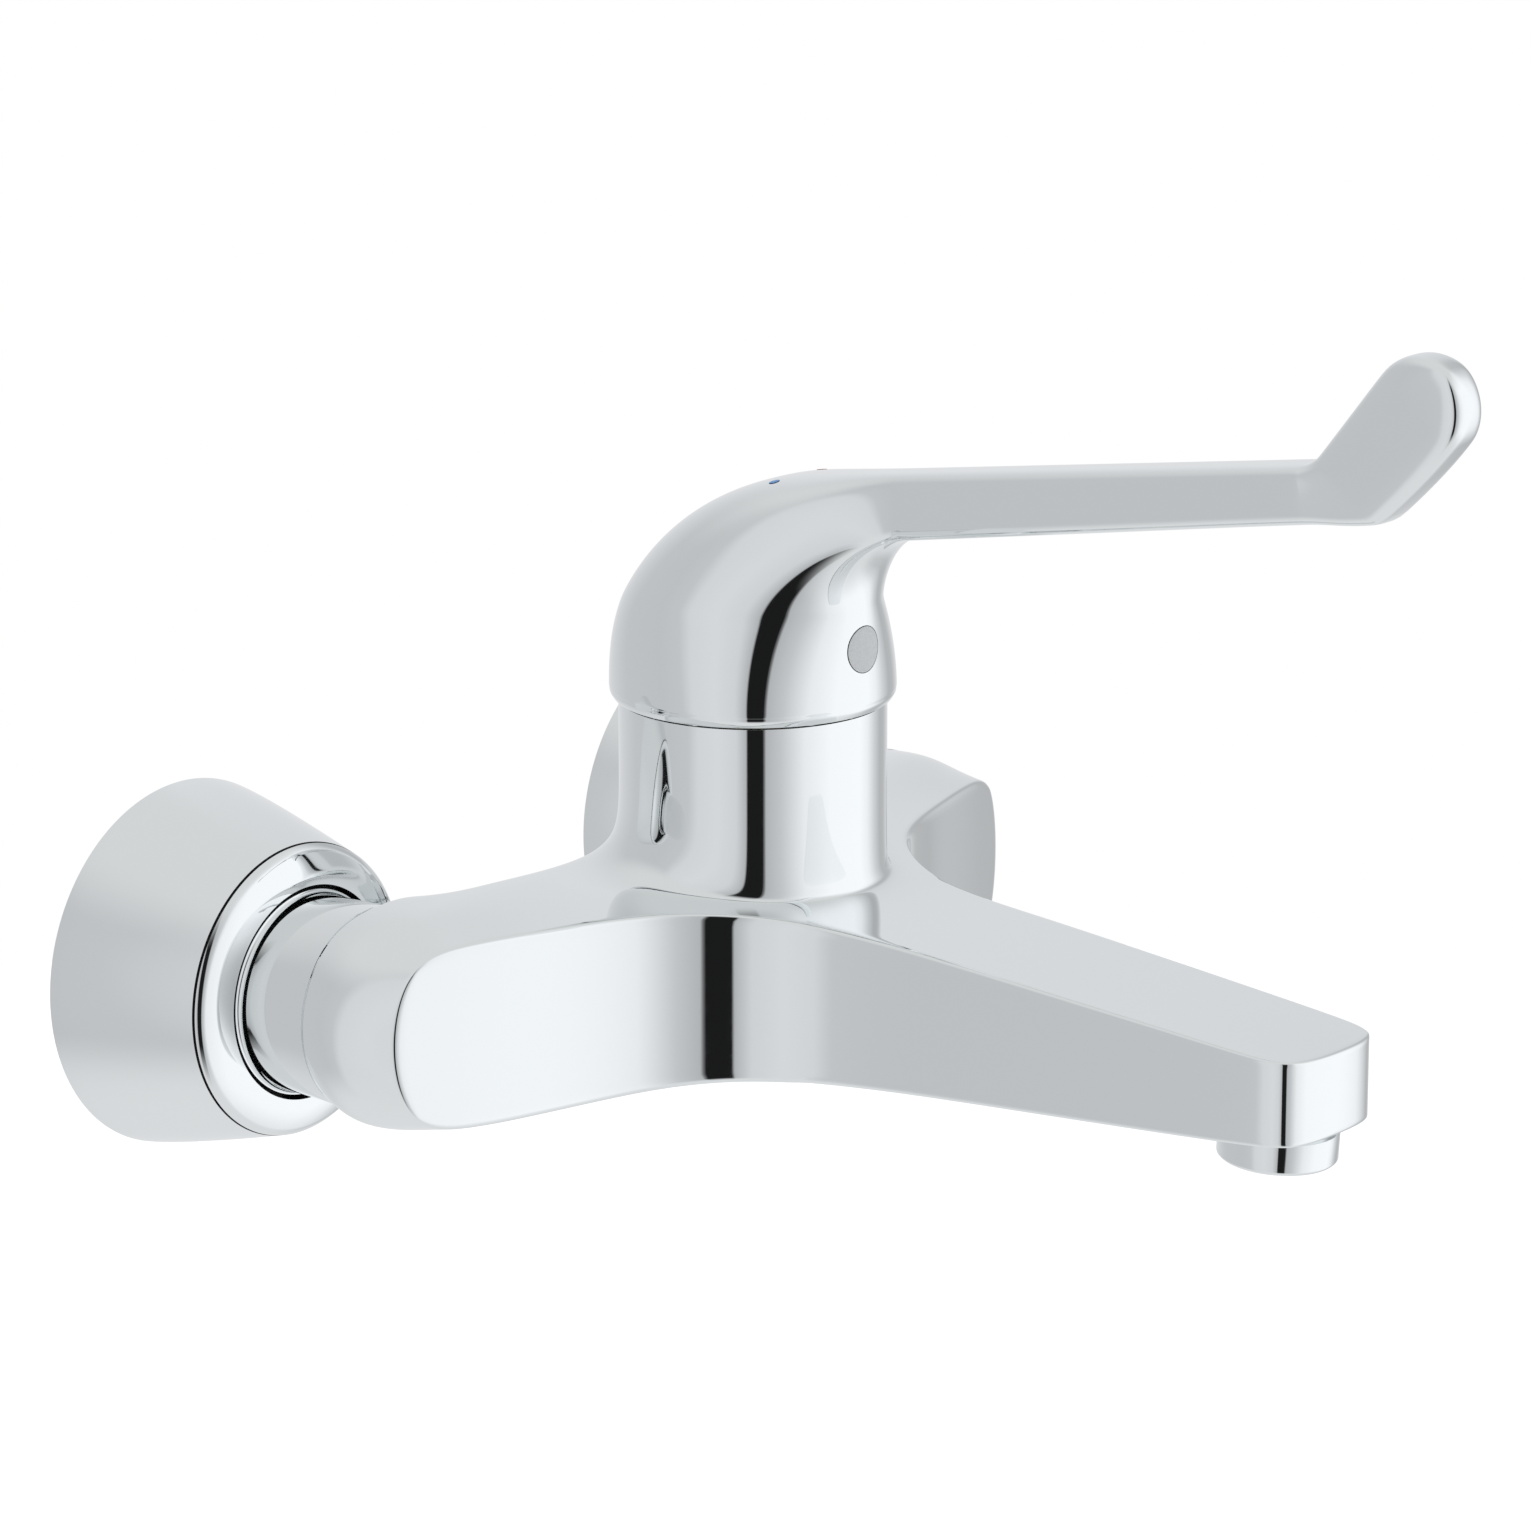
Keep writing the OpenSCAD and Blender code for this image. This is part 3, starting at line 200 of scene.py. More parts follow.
def finish_piece(bm, name, body, nodes, material, levels=0, sharp_angle=None, painted_shade=None):
    """Turns a mesh in millimetres into a piece that rides on a body and stands for some nodes."""
    bmesh.ops.remove_doubles(bm, verts=bm.verts, dist=MERGE_DISTANCE)
    bmesh.ops.recalc_face_normals(bm, faces=bm.faces)
    bmesh.ops.scale(bm, vec=(MM, MM, MM), verts=bm.verts)
    mesh = bpy.data.meshes.new(name)
    for face in bm.faces:
        face.smooth = True
    bm.to_mesh(mesh)
    bm.free()
    if sharp_angle is not None:
        mesh.set_sharp_from_angle(angle=math.radians(sharp_angle))
    mesh.materials.append(material)
    # The second slot is a near-black material that paints shade into gaps, grooves and rings where shade
    # falls.
    if painted_shade:
        mesh.materials.append(painted_shade)
    piece = bpy.data.objects.new(name, mesh)
    bpy.context.scene.collection.objects.link(piece)
    if levels:
        rounding = piece.modifiers.new("rounding", "SUBSURF")
        rounding.levels = levels
        rounding.render_levels = levels
    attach(piece, body)
    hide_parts(*nodes)


def turned(bm, profile, axis_point, axis, sides):
    """Spins a closed profile of (radius, distance along the axis) points round an axis."""
    axis = Vector(axis).normalized()
    side = axis.orthogonal().normalized()
    centre = Vector(axis_point)
    verts = [bm.verts.new(centre + side * r + axis * d) for r, d in profile]
    ends = zip(verts, verts[1:] + verts[:1])
    edges = [bm.edges.new(pair) for pair in ends]
    bmesh.ops.spin(bm, geom=verts + edges, cent=centre, axis=axis, angle=math.tau, steps=sides,
                   use_merge=True)


def rounded(points, radius):
    """Rounds every corner of a closed profile by the same small radius."""
    out = []
    count = len(points)
    for i, point in enumerate(points):
        here = Vector(point)
        back = Vector(points[i - 1]) - here
        on = Vector(points[(i + 1) % count]) - here
        cut = min(radius, CORNER_SHARE * back.length, CORNER_SHARE * on.length)
        start = here + back.normalized() * cut
        end = here + on.normalized() * cut
        for k in range(CORNER_STEPS + 1):
            t = k / CORNER_STEPS
            out.append(tuple(start * (1 - t) ** 2 + here * 2 * t * (1 - t) + end * t * t))
    return out


def extruded_loops(bm, loops):
    """A skin over a row of closed loops with equal numbers of points, closed at both ends."""
    ring = list(bmesh.ops.create_circle(bm, segments=len(loops[0]), radius=1.0)["verts"])
    for vert, place in zip(ring, loops[0]):
        vert.co = place
    bm.faces.new(ring)
    for loop in loops[1:]:
        edges = [bm.edges.get(pair) for pair in zip(ring, ring[1:] + ring[:1])]
        made = bmesh.ops.extrude_edge_only(bm, edges=edges)["geom"]
        fresh = [g for g in made if isinstance(g, bmesh.types.BMVert)]
        old = set(ring)
        partner = {}
        for vert in fresh:
            for edge in vert.link_edges:
                if edge.other_vert(vert) in old:
                    partner[edge.other_vert(vert)] = vert
        ring = [partner[vert] for vert in ring]
        for vert, place in zip(ring, loop):
            vert.co = place
    bm.faces.new(ring)


# Finishes

POLISH_RELIEF = 0.2 * MM
GRAIN_RELIEF = 0.1 * MM


def new_material(name):
    material = bpy.data.materials.new(name)
    material.use_nodes = True
    nodes = material.node_tree.nodes
    return material, nodes, material.node_tree.links, nodes["Principled BSDF"]


def polish_group():
    """Slow swirls and fine wipe marks, as on polished plate: a mask for gloss and a height."""
    group = bpy.data.node_groups.new("polish", "ShaderNodeTree")
    side = group.interface
    for name, value in (("Swirl Scale", 40.0), ("Wipe Scale", 600.0), ("Low", 0.03), ("High", 0.08)):
        socket = side.new_socket(name, in_out="INPUT", socket_type="NodeSocketFloat")
        socket.default_value = value
    side.new_socket("Roughness", in_out="OUTPUT", socket_type="NodeSocketFloat")
    side.new_socket("Height", in_out="OUTPUT", socket_type="NodeSocketFloat")
    nodes, links = group.nodes, group.links
    given = nodes.new("NodeGroupInput")
    out = nodes.new("NodeGroupOutput")
    place = nodes.new("ShaderNodeTexCoord")
    swirl = nodes.new("ShaderNodeTexNoise")
    swirl.inputs["Detail"].default_value = 2.0
    wipe = nodes.new("ShaderNodeTexNoise")
    wipe.inputs["Detail"].default_value = 4.0
    blend = nodes.new("ShaderNodeMath")
    blend.operation = "MULTIPLY"
    spread = nodes.new("ShaderNodeMapRange")
    links.new(place.outputs["Object"], swirl.inputs["Vector"])
    links.new(place.outputs["Object"], wipe.inputs["Vector"])
    links.new(given.outputs["Swirl Scale"], swirl.inputs["Scale"])
    links.new(given.outputs["Wipe Scale"], wipe.inputs["Scale"])
    links.new(swirl.outputs["Fac"], blend.inputs[0])
    links.new(wipe.outputs["Fac"], blend.inputs[1])
    links.new(blend.outputs["Value"], spread.inputs["Value"])
    spread.inputs["From Min"].default_value = 0.1
    spread.inputs["From Max"].default_value = 0.45
    links.new(given.outputs["Low"], spread.inputs["To Min"])
    links.new(given.outputs["High"], spread.inputs["To Max"])
    links.new(spread.outputs["Result"], out.inputs["Roughness"])
    links.new(swirl.outputs["Fac"], out.inputs["Height"])
    return group


POLISH = polish_group()


def plated(name, colour, low=0.02, high=0.06, bump=0.0):
    """A metal whose roughness wanders between two values, with tool marks where it has a bump."""
    material, nodes, links, shader = new_material(name)
    shader.inputs["Base Color"].default_value = (*colour, 1.0)
    shader.inputs["Metallic"].default_value = 1.0
    polish = nodes.new("ShaderNodeGroup")
    polish.node_tree = POLISH
    polish.inputs["Low"].default_value = low
    polish.inputs["High"].default_value = high
    links.new(polish.outputs["Roughness"], shader.inputs["Roughness"])
    if bump:
        relief = nodes.new("ShaderNodeBump")
        relief.inputs["Strength"].default_value = bump
        relief.inputs["Distance"].default_value = POLISH_RELIEF
        links.new(polish.outputs["Height"], relief.inputs["Height"])
        links.new(relief.outputs["Normal"], shader.inputs["Normal"])
    return material


def moulded(name, colour, darker, roughness, grain_scale=900.0, grain=0.08):
    """A plain material with a fine grain between two close colours."""
    material, nodes, links, shader = new_material(name)
    place = nodes.new("ShaderNodeTexCoord")
    noise = nodes.new("ShaderNodeTexNoise")
    noise.inputs["Scale"].default_value = grain_scale
    noise.inputs["Detail"].default_value = 3.0
    ramp = nodes.new("ShaderNodeValToRGB")
    ramp.color_ramp.elements[0].position = 0.35
    ramp.color_ramp.elements[0].color = (*darker, 1.0)
    ramp.color_ramp.elements[1].position = 0.65
    ramp.color_ramp.elements[1].color = (*colour, 1.0)
    relief = nodes.new("ShaderNodeBump")
    relief.inputs["Strength"].default_value = grain
    relief.inputs["Distance"].default_value = GRAIN_RELIEF
    links.new(place.outputs["Object"], noise.inputs["Vector"])
    links.new(noise.outputs["Fac"], ramp.inputs["Fac"])
    links.new(ramp.outputs["Color"], shader.inputs["Base Color"])
    links.new(noise.outputs["Fac"], relief.inputs["Height"])
    links.new(relief.outputs["Normal"], shader.inputs["Normal"])
    shader.inputs["Roughness"].default_value = roughness
    return material


CHROME = plated("bright_chrome", (0.86, 0.88, 0.885))
BRASS = plated("machined_brass", (0.80, 0.62, 0.30), 0.18, 0.34, 0.2)
STEEL = plated("stainless_steel", (0.62, 0.63, 0.65), 0.16, 0.30, 0.2)
RUBBER = moulded("black_rubber", (0.030, 0.030, 0.033), (0.018, 0.018, 0.02), 0.62)
WHITE_PLASTIC = moulded("white_plastic", (0.86, 0.86, 0.84), (0.80, 0.80, 0.78), 0.38)
GREY_PLASTIC = moulded("grey_plastic", (0.46, 0.48, 0.49), (0.42, 0.44, 0.45), 0.42)
CERAMIC = moulded("lapped_ceramic", (0.92, 0.91, 0.87), (0.89, 0.88, 0.84), 0.16, 400.0, 0.02)
# Near-black material that paints the shade in gaps, grooves and rings between parts.
GAP_SHADE = moulded("painted_gap_shade", (0.012, 0.012, 0.013), (0.006, 0.006, 0.007), 0.7)
PLUG_GREY = moulded("plug_grey", (0.63, 0.645, 0.655), (0.60, 0.615, 0.625), 0.45, 1500.0, 0.04)
MARK_BLUE = moulded("mark_blue", (0.03, 0.27, 0.70), (0.025, 0.24, 0.64), 0.3, 1500.0, 0.02)
MARK_RED = moulded("mark_red", (0.60, 0.02, 0.02), (0.52, 0.015, 0.015), 0.3, 1500.0, 0.02)


# Body casting

def panel_y(x):
    return PANEL_END[1] - (x - PANEL_END[0]) * math.tan(PANEL_ANGLE)


def panel_edge(x, z):
    return (x, panel_y(x) + PANEL_CROWN, z)


def arc_point(degrees):
    x, y = SPOUT_FILLET_CENTRE
    turn = math.radians(degrees)
    return (x + SPOUT_CAGE_R * math.cos(turn), y + SPOUT_CAGE_R * math.sin(turn))


def column_point(degrees, radius, z):
    turn = math.radians(degrees)
    return (-radius * math.sin(turn), COLUMN_Y - radius * math.cos(turn), z)


# A smoothed ring of twelve cage points lies at this share of their radius
RING_SHARE = (2 + math.cos(math.radians(30))) / 3
CREASE = 0.62
MOUTH_CREASE = 0.8
HARD = 1.0
PANEL_CROWN = 0.4


def make_body():
    """The casting as a half cage that is mirrored and then smoothed, with creases at its edges."""
    bm = bmesh.new()
    crease = bm.edges.layers.float.new("crease_edge")

    def row(points):
        return [bm.verts.new(p) for p in points]

    def row_along(end, plan, heights):
        return row([end] + [(x, y, z) for (x, y), z in zip(plan, heights)])

    def grid(*rows):
        for near, far in zip(rows, rows[1:]):
            for i in range(len(near) - 1):
                bm.faces.new((near[i], near[i + 1], far[i + 1], far[i]))

    def sharpen(verts, value):
        for a, b in zip(verts, verts[1:]):
            bm.edges.get((a, b))[crease] = value

    # The wall that runs from the panel's end along the hollow curve and the spout to its nose
    wall = [(x, panel_y(x)) for x in (-74.5, -62.0, -49.2)]
    wall += [arc_point(d) for d in (55.3, 37.6, 19.9)]
    wall += [(-half_w, y) for half_w, y in zip(SPOUT_HALF_W, SPOUT_Y)]
    wall += [(-14.0, -213.4), (0.0, -214.2)]
    top_z = (16.3, 16.3, 16.3, 16.2, 15.7, 14.8, 13.7, 12.9, 10.65, 8.4, 7.2, 6.3, 6.2)
    low_z = (-18.8, -18.8, -18.5, -17.7, -16.6, -16.4, -15.5, -14.4, -12.6, -10.9, -9.9, -9.2, -9.2)
    middle_z = [(a + b) / 2 for a, b in zip(top_z, low_z)]
    upper = row_along(panel_edge(-86.5, 15.2), wall, top_z)
    middle = row_along(panel_edge(-90.25, -1.3), wall, middle_z)
    lower = row_along(panel_edge(-86.3, -17.4), wall, low_z)
    grid(upper, middle, lower)

    # Bands round the arm, from the panel's edge back to the neck
    band_b = ((-72.0, -65.5), (-58.0, -68.5), (-46.0, -71.0))
    band_c = ((-75.3, -57.0), (-57.0, -59.0), (-45.5, -60.5))
    band_d = ((-76.33, NECK_Y), (-57.0, ARM_BACK_Y), (-45.0, ARM_BACK_Y))
    top_b = row_along((-88.8, -62.0, 15.0), band_b, (18.8, 18.1, 17.8))
    top_c = row_along((-90.1, -55.2, 15.1), band_c, (21.1, 19.9, 19.5))
    top_d = row_along((-89.96, NECK_Y, 14.96), band_d, (20.2, 20.3, 20.2))
    end_b, end_c, end_d = row([(-94.2, -61.3, -0.5), (-96.6, -55.2, -0.3), (-96.14, NECK_Y, 0.0)])
    low_b = row_along((-89.3, -62.0, -17.3), band_b, (-21.6, -19.8, -19.2))
    low_c = row_along((-92.2, -55.2, -17.9), band_c, (-23.2, -20.4, -19.5))
    low_d = row_along((-89.96, NECK_Y, -14.96), band_d, (-20.2, -19.3, -19.0))
    back = [end_d] + row([(-75.0, NECK_Y, 0.0), (-57.0, ARM_BACK_Y, -0.3), (-45.0, ARM_BACK_Y, -0.4)])
    grid(upper[:4], top_b, top_c, top_d, back, low_d, low_c, low_b, lower[:4])
    grid((upper[0], middle[0], lower[0]), (top_b[0], end_b, low_b[0]), (top_c[0], end_c, low_c[0]),
         (top_d[0], end_d, low_d[0]))
    back_mid = row([(-14.5, ARM_BACK_Y, -0.4), (0.0, ARM_BACK_Y, -0.4)])

    # Top of the body between the arm, the wall and the column's foot, and the spout's top
    foot = row([column_point(0, 27.6, 15.7), column_point(30, 27.5, 15.8), column_point(58, 26.8, 16.4),
                (-32.5, -77.0, 17.6), (-29.5, -61.5, 18.8), (-14.5, -52.2, 19.3), (0.0, -51.4, 19.3)])
    middle_plan = [(0.0, y) for y in SPOUT_Y]
    spine = row_along((0.0, CREST_Y, 14.8), middle_plan, (14.3, 13.5, 11.3, 9.0, 7.7))

    def middle_faces(ring, edge, arm_b, arm_c, arm_d, line):
        for corners in ((ring[3], edge[4], edge[3], arm_b[3]),
                        (ring[3], ring[2], edge[5], edge[4]),
                        (ring[2], ring[1], edge[6], edge[5]),
                        (ring[1], ring[0], line[0], edge[6]),
                        (ring[3], arm_b[3], arm_c[3], ring[4]),
                        (ring[4], arm_c[3], arm_d[3], ring[5]),
                        (ring[5], arm_d[3], back[3], back_mid[0]),
                        (ring[6], ring[5], back_mid[0], back_mid[1])):
            bm.faces.new(corners)
        grid(edge[6:12], line)
        bm.faces.new((edge[11], edge[12], edge[13], line[5]))

    middle_faces(foot, upper, top_b, top_c, top_d, spine)

    # Underside of the body, and the spout's underside
    sole = row([(0.0, -104.0, -16.6), (-12.0, -99.0, -16.8), (-19.0, -91.0, -17.4), (-29.0, -77.0, -18.8),
                (-27.0, -62.0, -19.1), (-14.5, -52.6, -18.7), (0.0, -52.6, -18.7)])
    keel = row_along((0.0, CREST_Y, -15.8), middle_plan, (-15.5, -14.4, -12.6, -10.9, -9.9))
    middle_faces(sole, lower, low_b, low_c, low_d, keel)
    bm.faces.new(sole)

    # Column, its mouth and the bore for the cartridge
    angles = (0, 30, 60, 90, 120, 150, 180)
    skirt = (17.3, 17.3, 18.0, 23.5, 24.0, 23.5, 23.0)

    def hoop(radius, heights):
        return row([column_point(a, radius / RING_SHARE, z) for a, z in zip(angles, heights)])

    def level_hoop(radius, z):
        return hoop(radius, [z] * len(angles))

    hoops = [foot, hoop(COLUMN_R, skirt)]
    for z in (COLUMN_WAIST, COLUMN_TOP - MOUTH_BAND, COLUMN_TOP):
        hoops.append(level_hoop(COLUMN_R, z))
    mouth = hoops[-1]
    lip = level_hoop(CLAMP_BORE_R, COLUMN_TOP)
    seat = level_hoop(CLAMP_BORE_R, CLAMP_SEAT)
    step = level_hoop(CARTRIDGE_R, CLAMP_SEAT)
    floor = level_hoop(CARTRIDGE_R, CARTRIDGE_FLOOR)
    grid(*hoops, lip, seat, step, floor)
    bm.faces.new(floor)

    # Edges that stay crisp
    sharpen(upper, CREASE)
    sharpen(lower, CREASE)
    sharpen((upper[0], middle[0], lower[0]), CREASE)
    sharpen((top_d[1], top_d[0], end_d, low_d[0], low_d[1]), HARD)
    sharpen(top_d[1:3], CREASE)
    sharpen(low_d[1:3], CREASE)
    sharpen(mouth, MOUTH_CREASE)
    for loop in (lip, seat, step, floor):
        sharpen(loop, HARD)

    half = bm.verts[:] + bm.edges[:] + bm.faces[:]
    bmesh.ops.mirror(bm, geom=half, matrix=Matrix.Identity(4), merge_dist=MIRROR_MERGE, axis="X")
    finish_piece(bm, "body_shell", "tap_body", ["body_casting"], CHROME, levels=BODY_LEVELS)


# Wall connection

def make_escutcheon(side, name):
    """A cone with a groove at its rim, a bevel, and a gently swelling front round the nut; the groove and
    the hole are painted near-black as shade.
    """
    bm = bmesh.new()
    flank = []
    for i in range(FLANK_STEPS + 1):
        r = mix(ESCUTCHEON_R, ESCUTCHEON_RIM_R, (i / FLANK_STEPS) ** FLANK_CURVE)
        flank.append((r, -ESCUTCHEON_DEPTH * i / FLANK_STEPS))
    groove = [(GROOVE_BACK_R, -(ESCUTCHEON_DEPTH + GROOVE_SLOPE)),
              (GROOVE_FRONT_R, -(ESCUTCHEON_DEPTH + RIM_GROOVE - GROOVE_SLOPE))]
    r = FRONT_R
    depth = ESCUTCHEON_DEPTH + RIM_GROOVE
    front = [(r, -depth)]
    for length, start, end in FRONT_STRETCHES:
        for i in range(STRETCH_STEPS):
            tilt = math.radians(mix(start, end, (i + 0.5) / STRETCH_STEPS))
            r -= length / STRETCH_STEPS * math.cos(tilt)
            depth += length / STRETCH_STEPS * math.sin(tilt)
            front.append((r, -depth))
    inner = [(HOLE_R, -NUT_COLLAR_BACK),
             (ESCUTCHEON_RIM_R - ESCUTCHEON_WALL - ESCUTCHEON_UNDERCUT, -NUT_COLLAR_BACK),
             (ESCUTCHEON_RIM_R - ESCUTCHEON_WALL, -(ESCUTCHEON_DEPTH - ESCUTCHEON_WALL)),
             (ESCUTCHEON_R - ESCUTCHEON_WALL, 0.0)]
    turned(bm, flank + groove + front + inner, (side * INLET_X, 0, 0), (0, 1, 0), ESCUTCHEON_SIDES)
    # Faces in the rim groove and inside the hole get the near-black material as painted shade.
    for face in bm.faces:
        middle = face.calc_center_median()
        out = math.hypot(middle.x - side * INLET_X, middle.z)
        in_groove = out > GROOVE_SHADE_R and 0.0 < -middle.y - ESCUTCHEON_DEPTH < RIM_GROOVE
        face.material_index = 1 if in_groove or out < HOLE_SHADE_R else 0
    finish_piece(bm, name + "_escutcheon_shell", "tap_body", [name + "_escutcheon"], CHROME,
                 sharp_angle=TURNED_SHARP_ANGLE, painted_shade=GAP_SHADE)


def make_nut(side, name):
    """A round nut: a collar in the escutcheon's hole, a small hollow, and a barrel that flares a little."""
    bm = bmesh.new()
    barrel = [(NUT_BORE_R, -NUT_BACK), (NUT_R, -NUT_BACK), (NUT_R, -NUT_COLLAR_BACK),
              (NUT_COLLAR_R, -NUT_COLLAR_BACK)]
    for i in range(NUT_HOLLOW_STEPS + 1):
        t = i / NUT_HOLLOW_STEPS * math.pi / 2
        r = NUT_R + (NUT_COLLAR_R - NUT_R) * (1 - math.sin(t))
        barrel.append((r, -NUT_COLLAR_FRONT - NUT_HOLLOW * (1 - math.cos(t))))
    for i in range(1, NUT_FLARE_STEPS + 1):
        t = i / NUT_FLARE_STEPS
        depth = mix(NUT_COLLAR_FRONT + NUT_HOLLOW, NUT_FRONT, t)
        barrel.append((mix(NUT_R, NUT_FRONT_R, t ** 2), -depth))
    barrel.append((NUT_BORE_R, -NUT_FRONT))
    turned(bm, barrel, (side * INLET_X, 0, 0), (0, 1, 0), NUT_SIDES)
    # The collar's outer faces, which sit in the escutcheon's hole, get the near-black material as painted
    # shade.
    for face in bm.faces:
        middle = face.calc_center_median()
        if math.hypot(middle.x - side * INLET_X, middle.z) > NUT_SHADE_R:
            face.material_index = 1
    finish_piece(bm, name + "_union_nut_shell", "tap_body", [name + "_union_nut"], CHROME,
                 sharp_angle=TURNED_SHARP_ANGLE, painted_shade=GAP_SHADE)


# Aerator

def make_aerator():
    bm = bmesh.new()
    axis = Vector((0, -math.sin(AERATOR_TILT), math.cos(AERATOR_TILT)))
    ring = rounded([(AERATOR_INNER_R, AERATOR_THREAD_H), (AERATOR_THREAD_R, AERATOR_THREAD_H),
                    (AERATOR_THREAD_R, 0.0), (AERATOR_R, 0.0), (AERATOR_R, AERATOR_BEVEL - AERATOR_RING_H),
                    (AERATOR_R - AERATOR_BEVEL, -AERATOR_RING_H), (AERATOR_INNER_R, -AERATOR_RING_H)],
                   AERATOR_EDGE_R)
    turned(bm, ring, (0, AERATOR_Y, AERATOR_Z), axis, AERATOR_SIDES)
    finish_piece(bm, "aerator_ring", "tap_body", ["aerator_housing"], CHROME,
                 sharp_angle=TURNED_SHARP_ANGLE)


# Hood and lever: stations are (forward from the column's axis, height)

RISE = math.tan(LEVER_RISE)
DOME_A = HOOD_R + DOME_SHIFT
DOME_TOP = math.hypot(DOME_A * RISE, DOME_H)
TOP_AT_AXIS = DOME_Z + DOME_TOP - DOME_SHIFT * RISE
THROAT_S = HOOD_R - FRONT_LEAN + THROAT_R
BAR_ANGLE = LEVER_RISE + math.atan((BAR_ROOT_H - BAR_TIP_H) / LEVER_LENGTH) / 2


def bar_top(s):
    return TOP_AT_AXIS + s * RISE


def bar_height(s):
    return mix(BAR_ROOT_H, BAR_TIP_H, s / LEVER_LENGTH) / math.cos(LEVER_RISE)


def bar_bottom(s):
    return bar_top(s) - bar_height(s)


def dome_radius(z):
    return HOOD_R * math.sqrt(1 - (max(0.0, z - DOME_Z) / DOME_SIDE_H) ** 2)


def dome_back(z):
    return DOME_A * math.sqrt(1 - (max(0.0, z - DOME_Z) / DOME_H) ** 2) - DOME_SHIFT


def hood_front(z):
    return HOOD_R - FRONT_LEAN * max(0.0, z - DOME_Z) / (THROAT.y - DOME_Z)


THROAT = Vector((THROAT_S, bar_bottom(THROAT_S) - THROAT_R / math.cos(BAR_ANGLE)))
FAN_END = math.pi / 2 - BAR_ANGLE
TANGENT_S = DOME_SHIFT - DOME_A ** 2 * RISE / DOME_TOP
FAN_TANGENT = math.atan2(bar_top(TANGENT_S) - THROAT.y, THROAT_S - TANGENT_S)
BEND = Vector((LEVER_LENGTH, bar_top(LEVER_LENGTH) + BEND_R / math.cos(LEVER_RISE)))
THROAT_LIFT = THROAT.y - DOME_Z
SIDE_LEAN = HOOD_R * THROAT_LIFT / DOME_SIDE_H / math.sqrt(DOME_SIDE_H ** 2 - THROAT_LIFT ** 2)
FAN_MID_R = (THROAT_S + dome_back(THROAT.y) + THROAT_R) / 2
FAN_HALVINGS = 40
NECK_LEAD = 2 - SIDE_LEAN * FAN_MID_R * FAN_END / (dome_radius(THROAT.y) - BAR_W / 2)


def fan_way(a):
    """The fan's rings turn about the throat's centre, from level at the hood to upright on the bar."""
    return Vector((-math.cos(a), math.sin(a)))


def fan_reach(a):
    if a >= FAN_TANGENT:
        return (bar_top(THROAT_S) - THROAT.y) / (math.sin(a) + math.cos(a) * RISE)
    p = Vector(((THROAT_S - DOME_SHIFT) / DOME_A, THROAT_LIFT / DOME_H))
    q = Vector((-math.cos(a) / DOME_A, math.sin(a) / DOME_H))
    half_b = p.dot(q)
    return (-half_b + math.sqrt(half_b ** 2 - q.dot(q) * (p.dot(p) - 1))) / q.dot(q)


def fan_half_w(a):
    t = a / FAN_END
    return mix(BAR_W / 2, dome_radius(THROAT.y), (1 - t) ** 2 * (1 + NECK_LEAD * t + NECK_SWELL * t * t))


def fan_square(a):
    return mix(ROUND, BAR_SQUARE, (a / FAN_END) ** SQUARE_DELAY)


def egg_span(egg):
    """Width of an egg shaped ring against a round one."""
    u = (math.sqrt(1 + 8 * egg * egg) - 1) / (4 * egg) if egg else 0.0
    return math.sqrt(1 - u * u) * (1 + egg * u)


def fan_egg(a):
    return HOOD_EGG * (1 - a / FAN_END) ** EGG_FALL


def hood_egg(z):
    return HOOD_EGG * (max(0.0, z - DOME_Z) / THROAT_LIFT) ** EGG_RISE


def fan_skin(x, s):
    """Height of the hood's top skin at a place beside the middle and in front of the column's axis."""
    low, high = 0.0, FAN_END
    for _ in range(FAN_HALVINGS):
        a = (low + high) / 2
        square = fan_square(a)
        half_w = fan_half_w(a) * (1 + fan_egg(a)) / egg_span(fan_egg(a))
        share = (1 - min(1.0, abs(x) / half_w) ** square) ** (1 / square)
        at = THROAT + fan_way(a) * mix(THROAT_R, fan_reach(a), (1 + share) / 2)
        low, high = (a, high) if at.x < s else (low, a)
    return at.y


def station_loop(inner, outer, half_w, square, egg):
    """One ring of the lever's skin, between its inner and outer points in the middle plane."""
    middle = (inner + outer) / 2
    up = (outer - inner) / 2
    loop = []
    for i in range(LEVER_SIDES):
        a = math.tau * i / LEVER_SIDES
        share = signed_pow(math.sin(a), 2 / square)
        x = half_w * signed_pow(math.cos(a), 2 / square) * (1 + egg * share) / egg_span(egg)
        at = middle + up * share
        loop.append(Vector((x, COLUMN_Y - at.x, at.y)))
    return loop


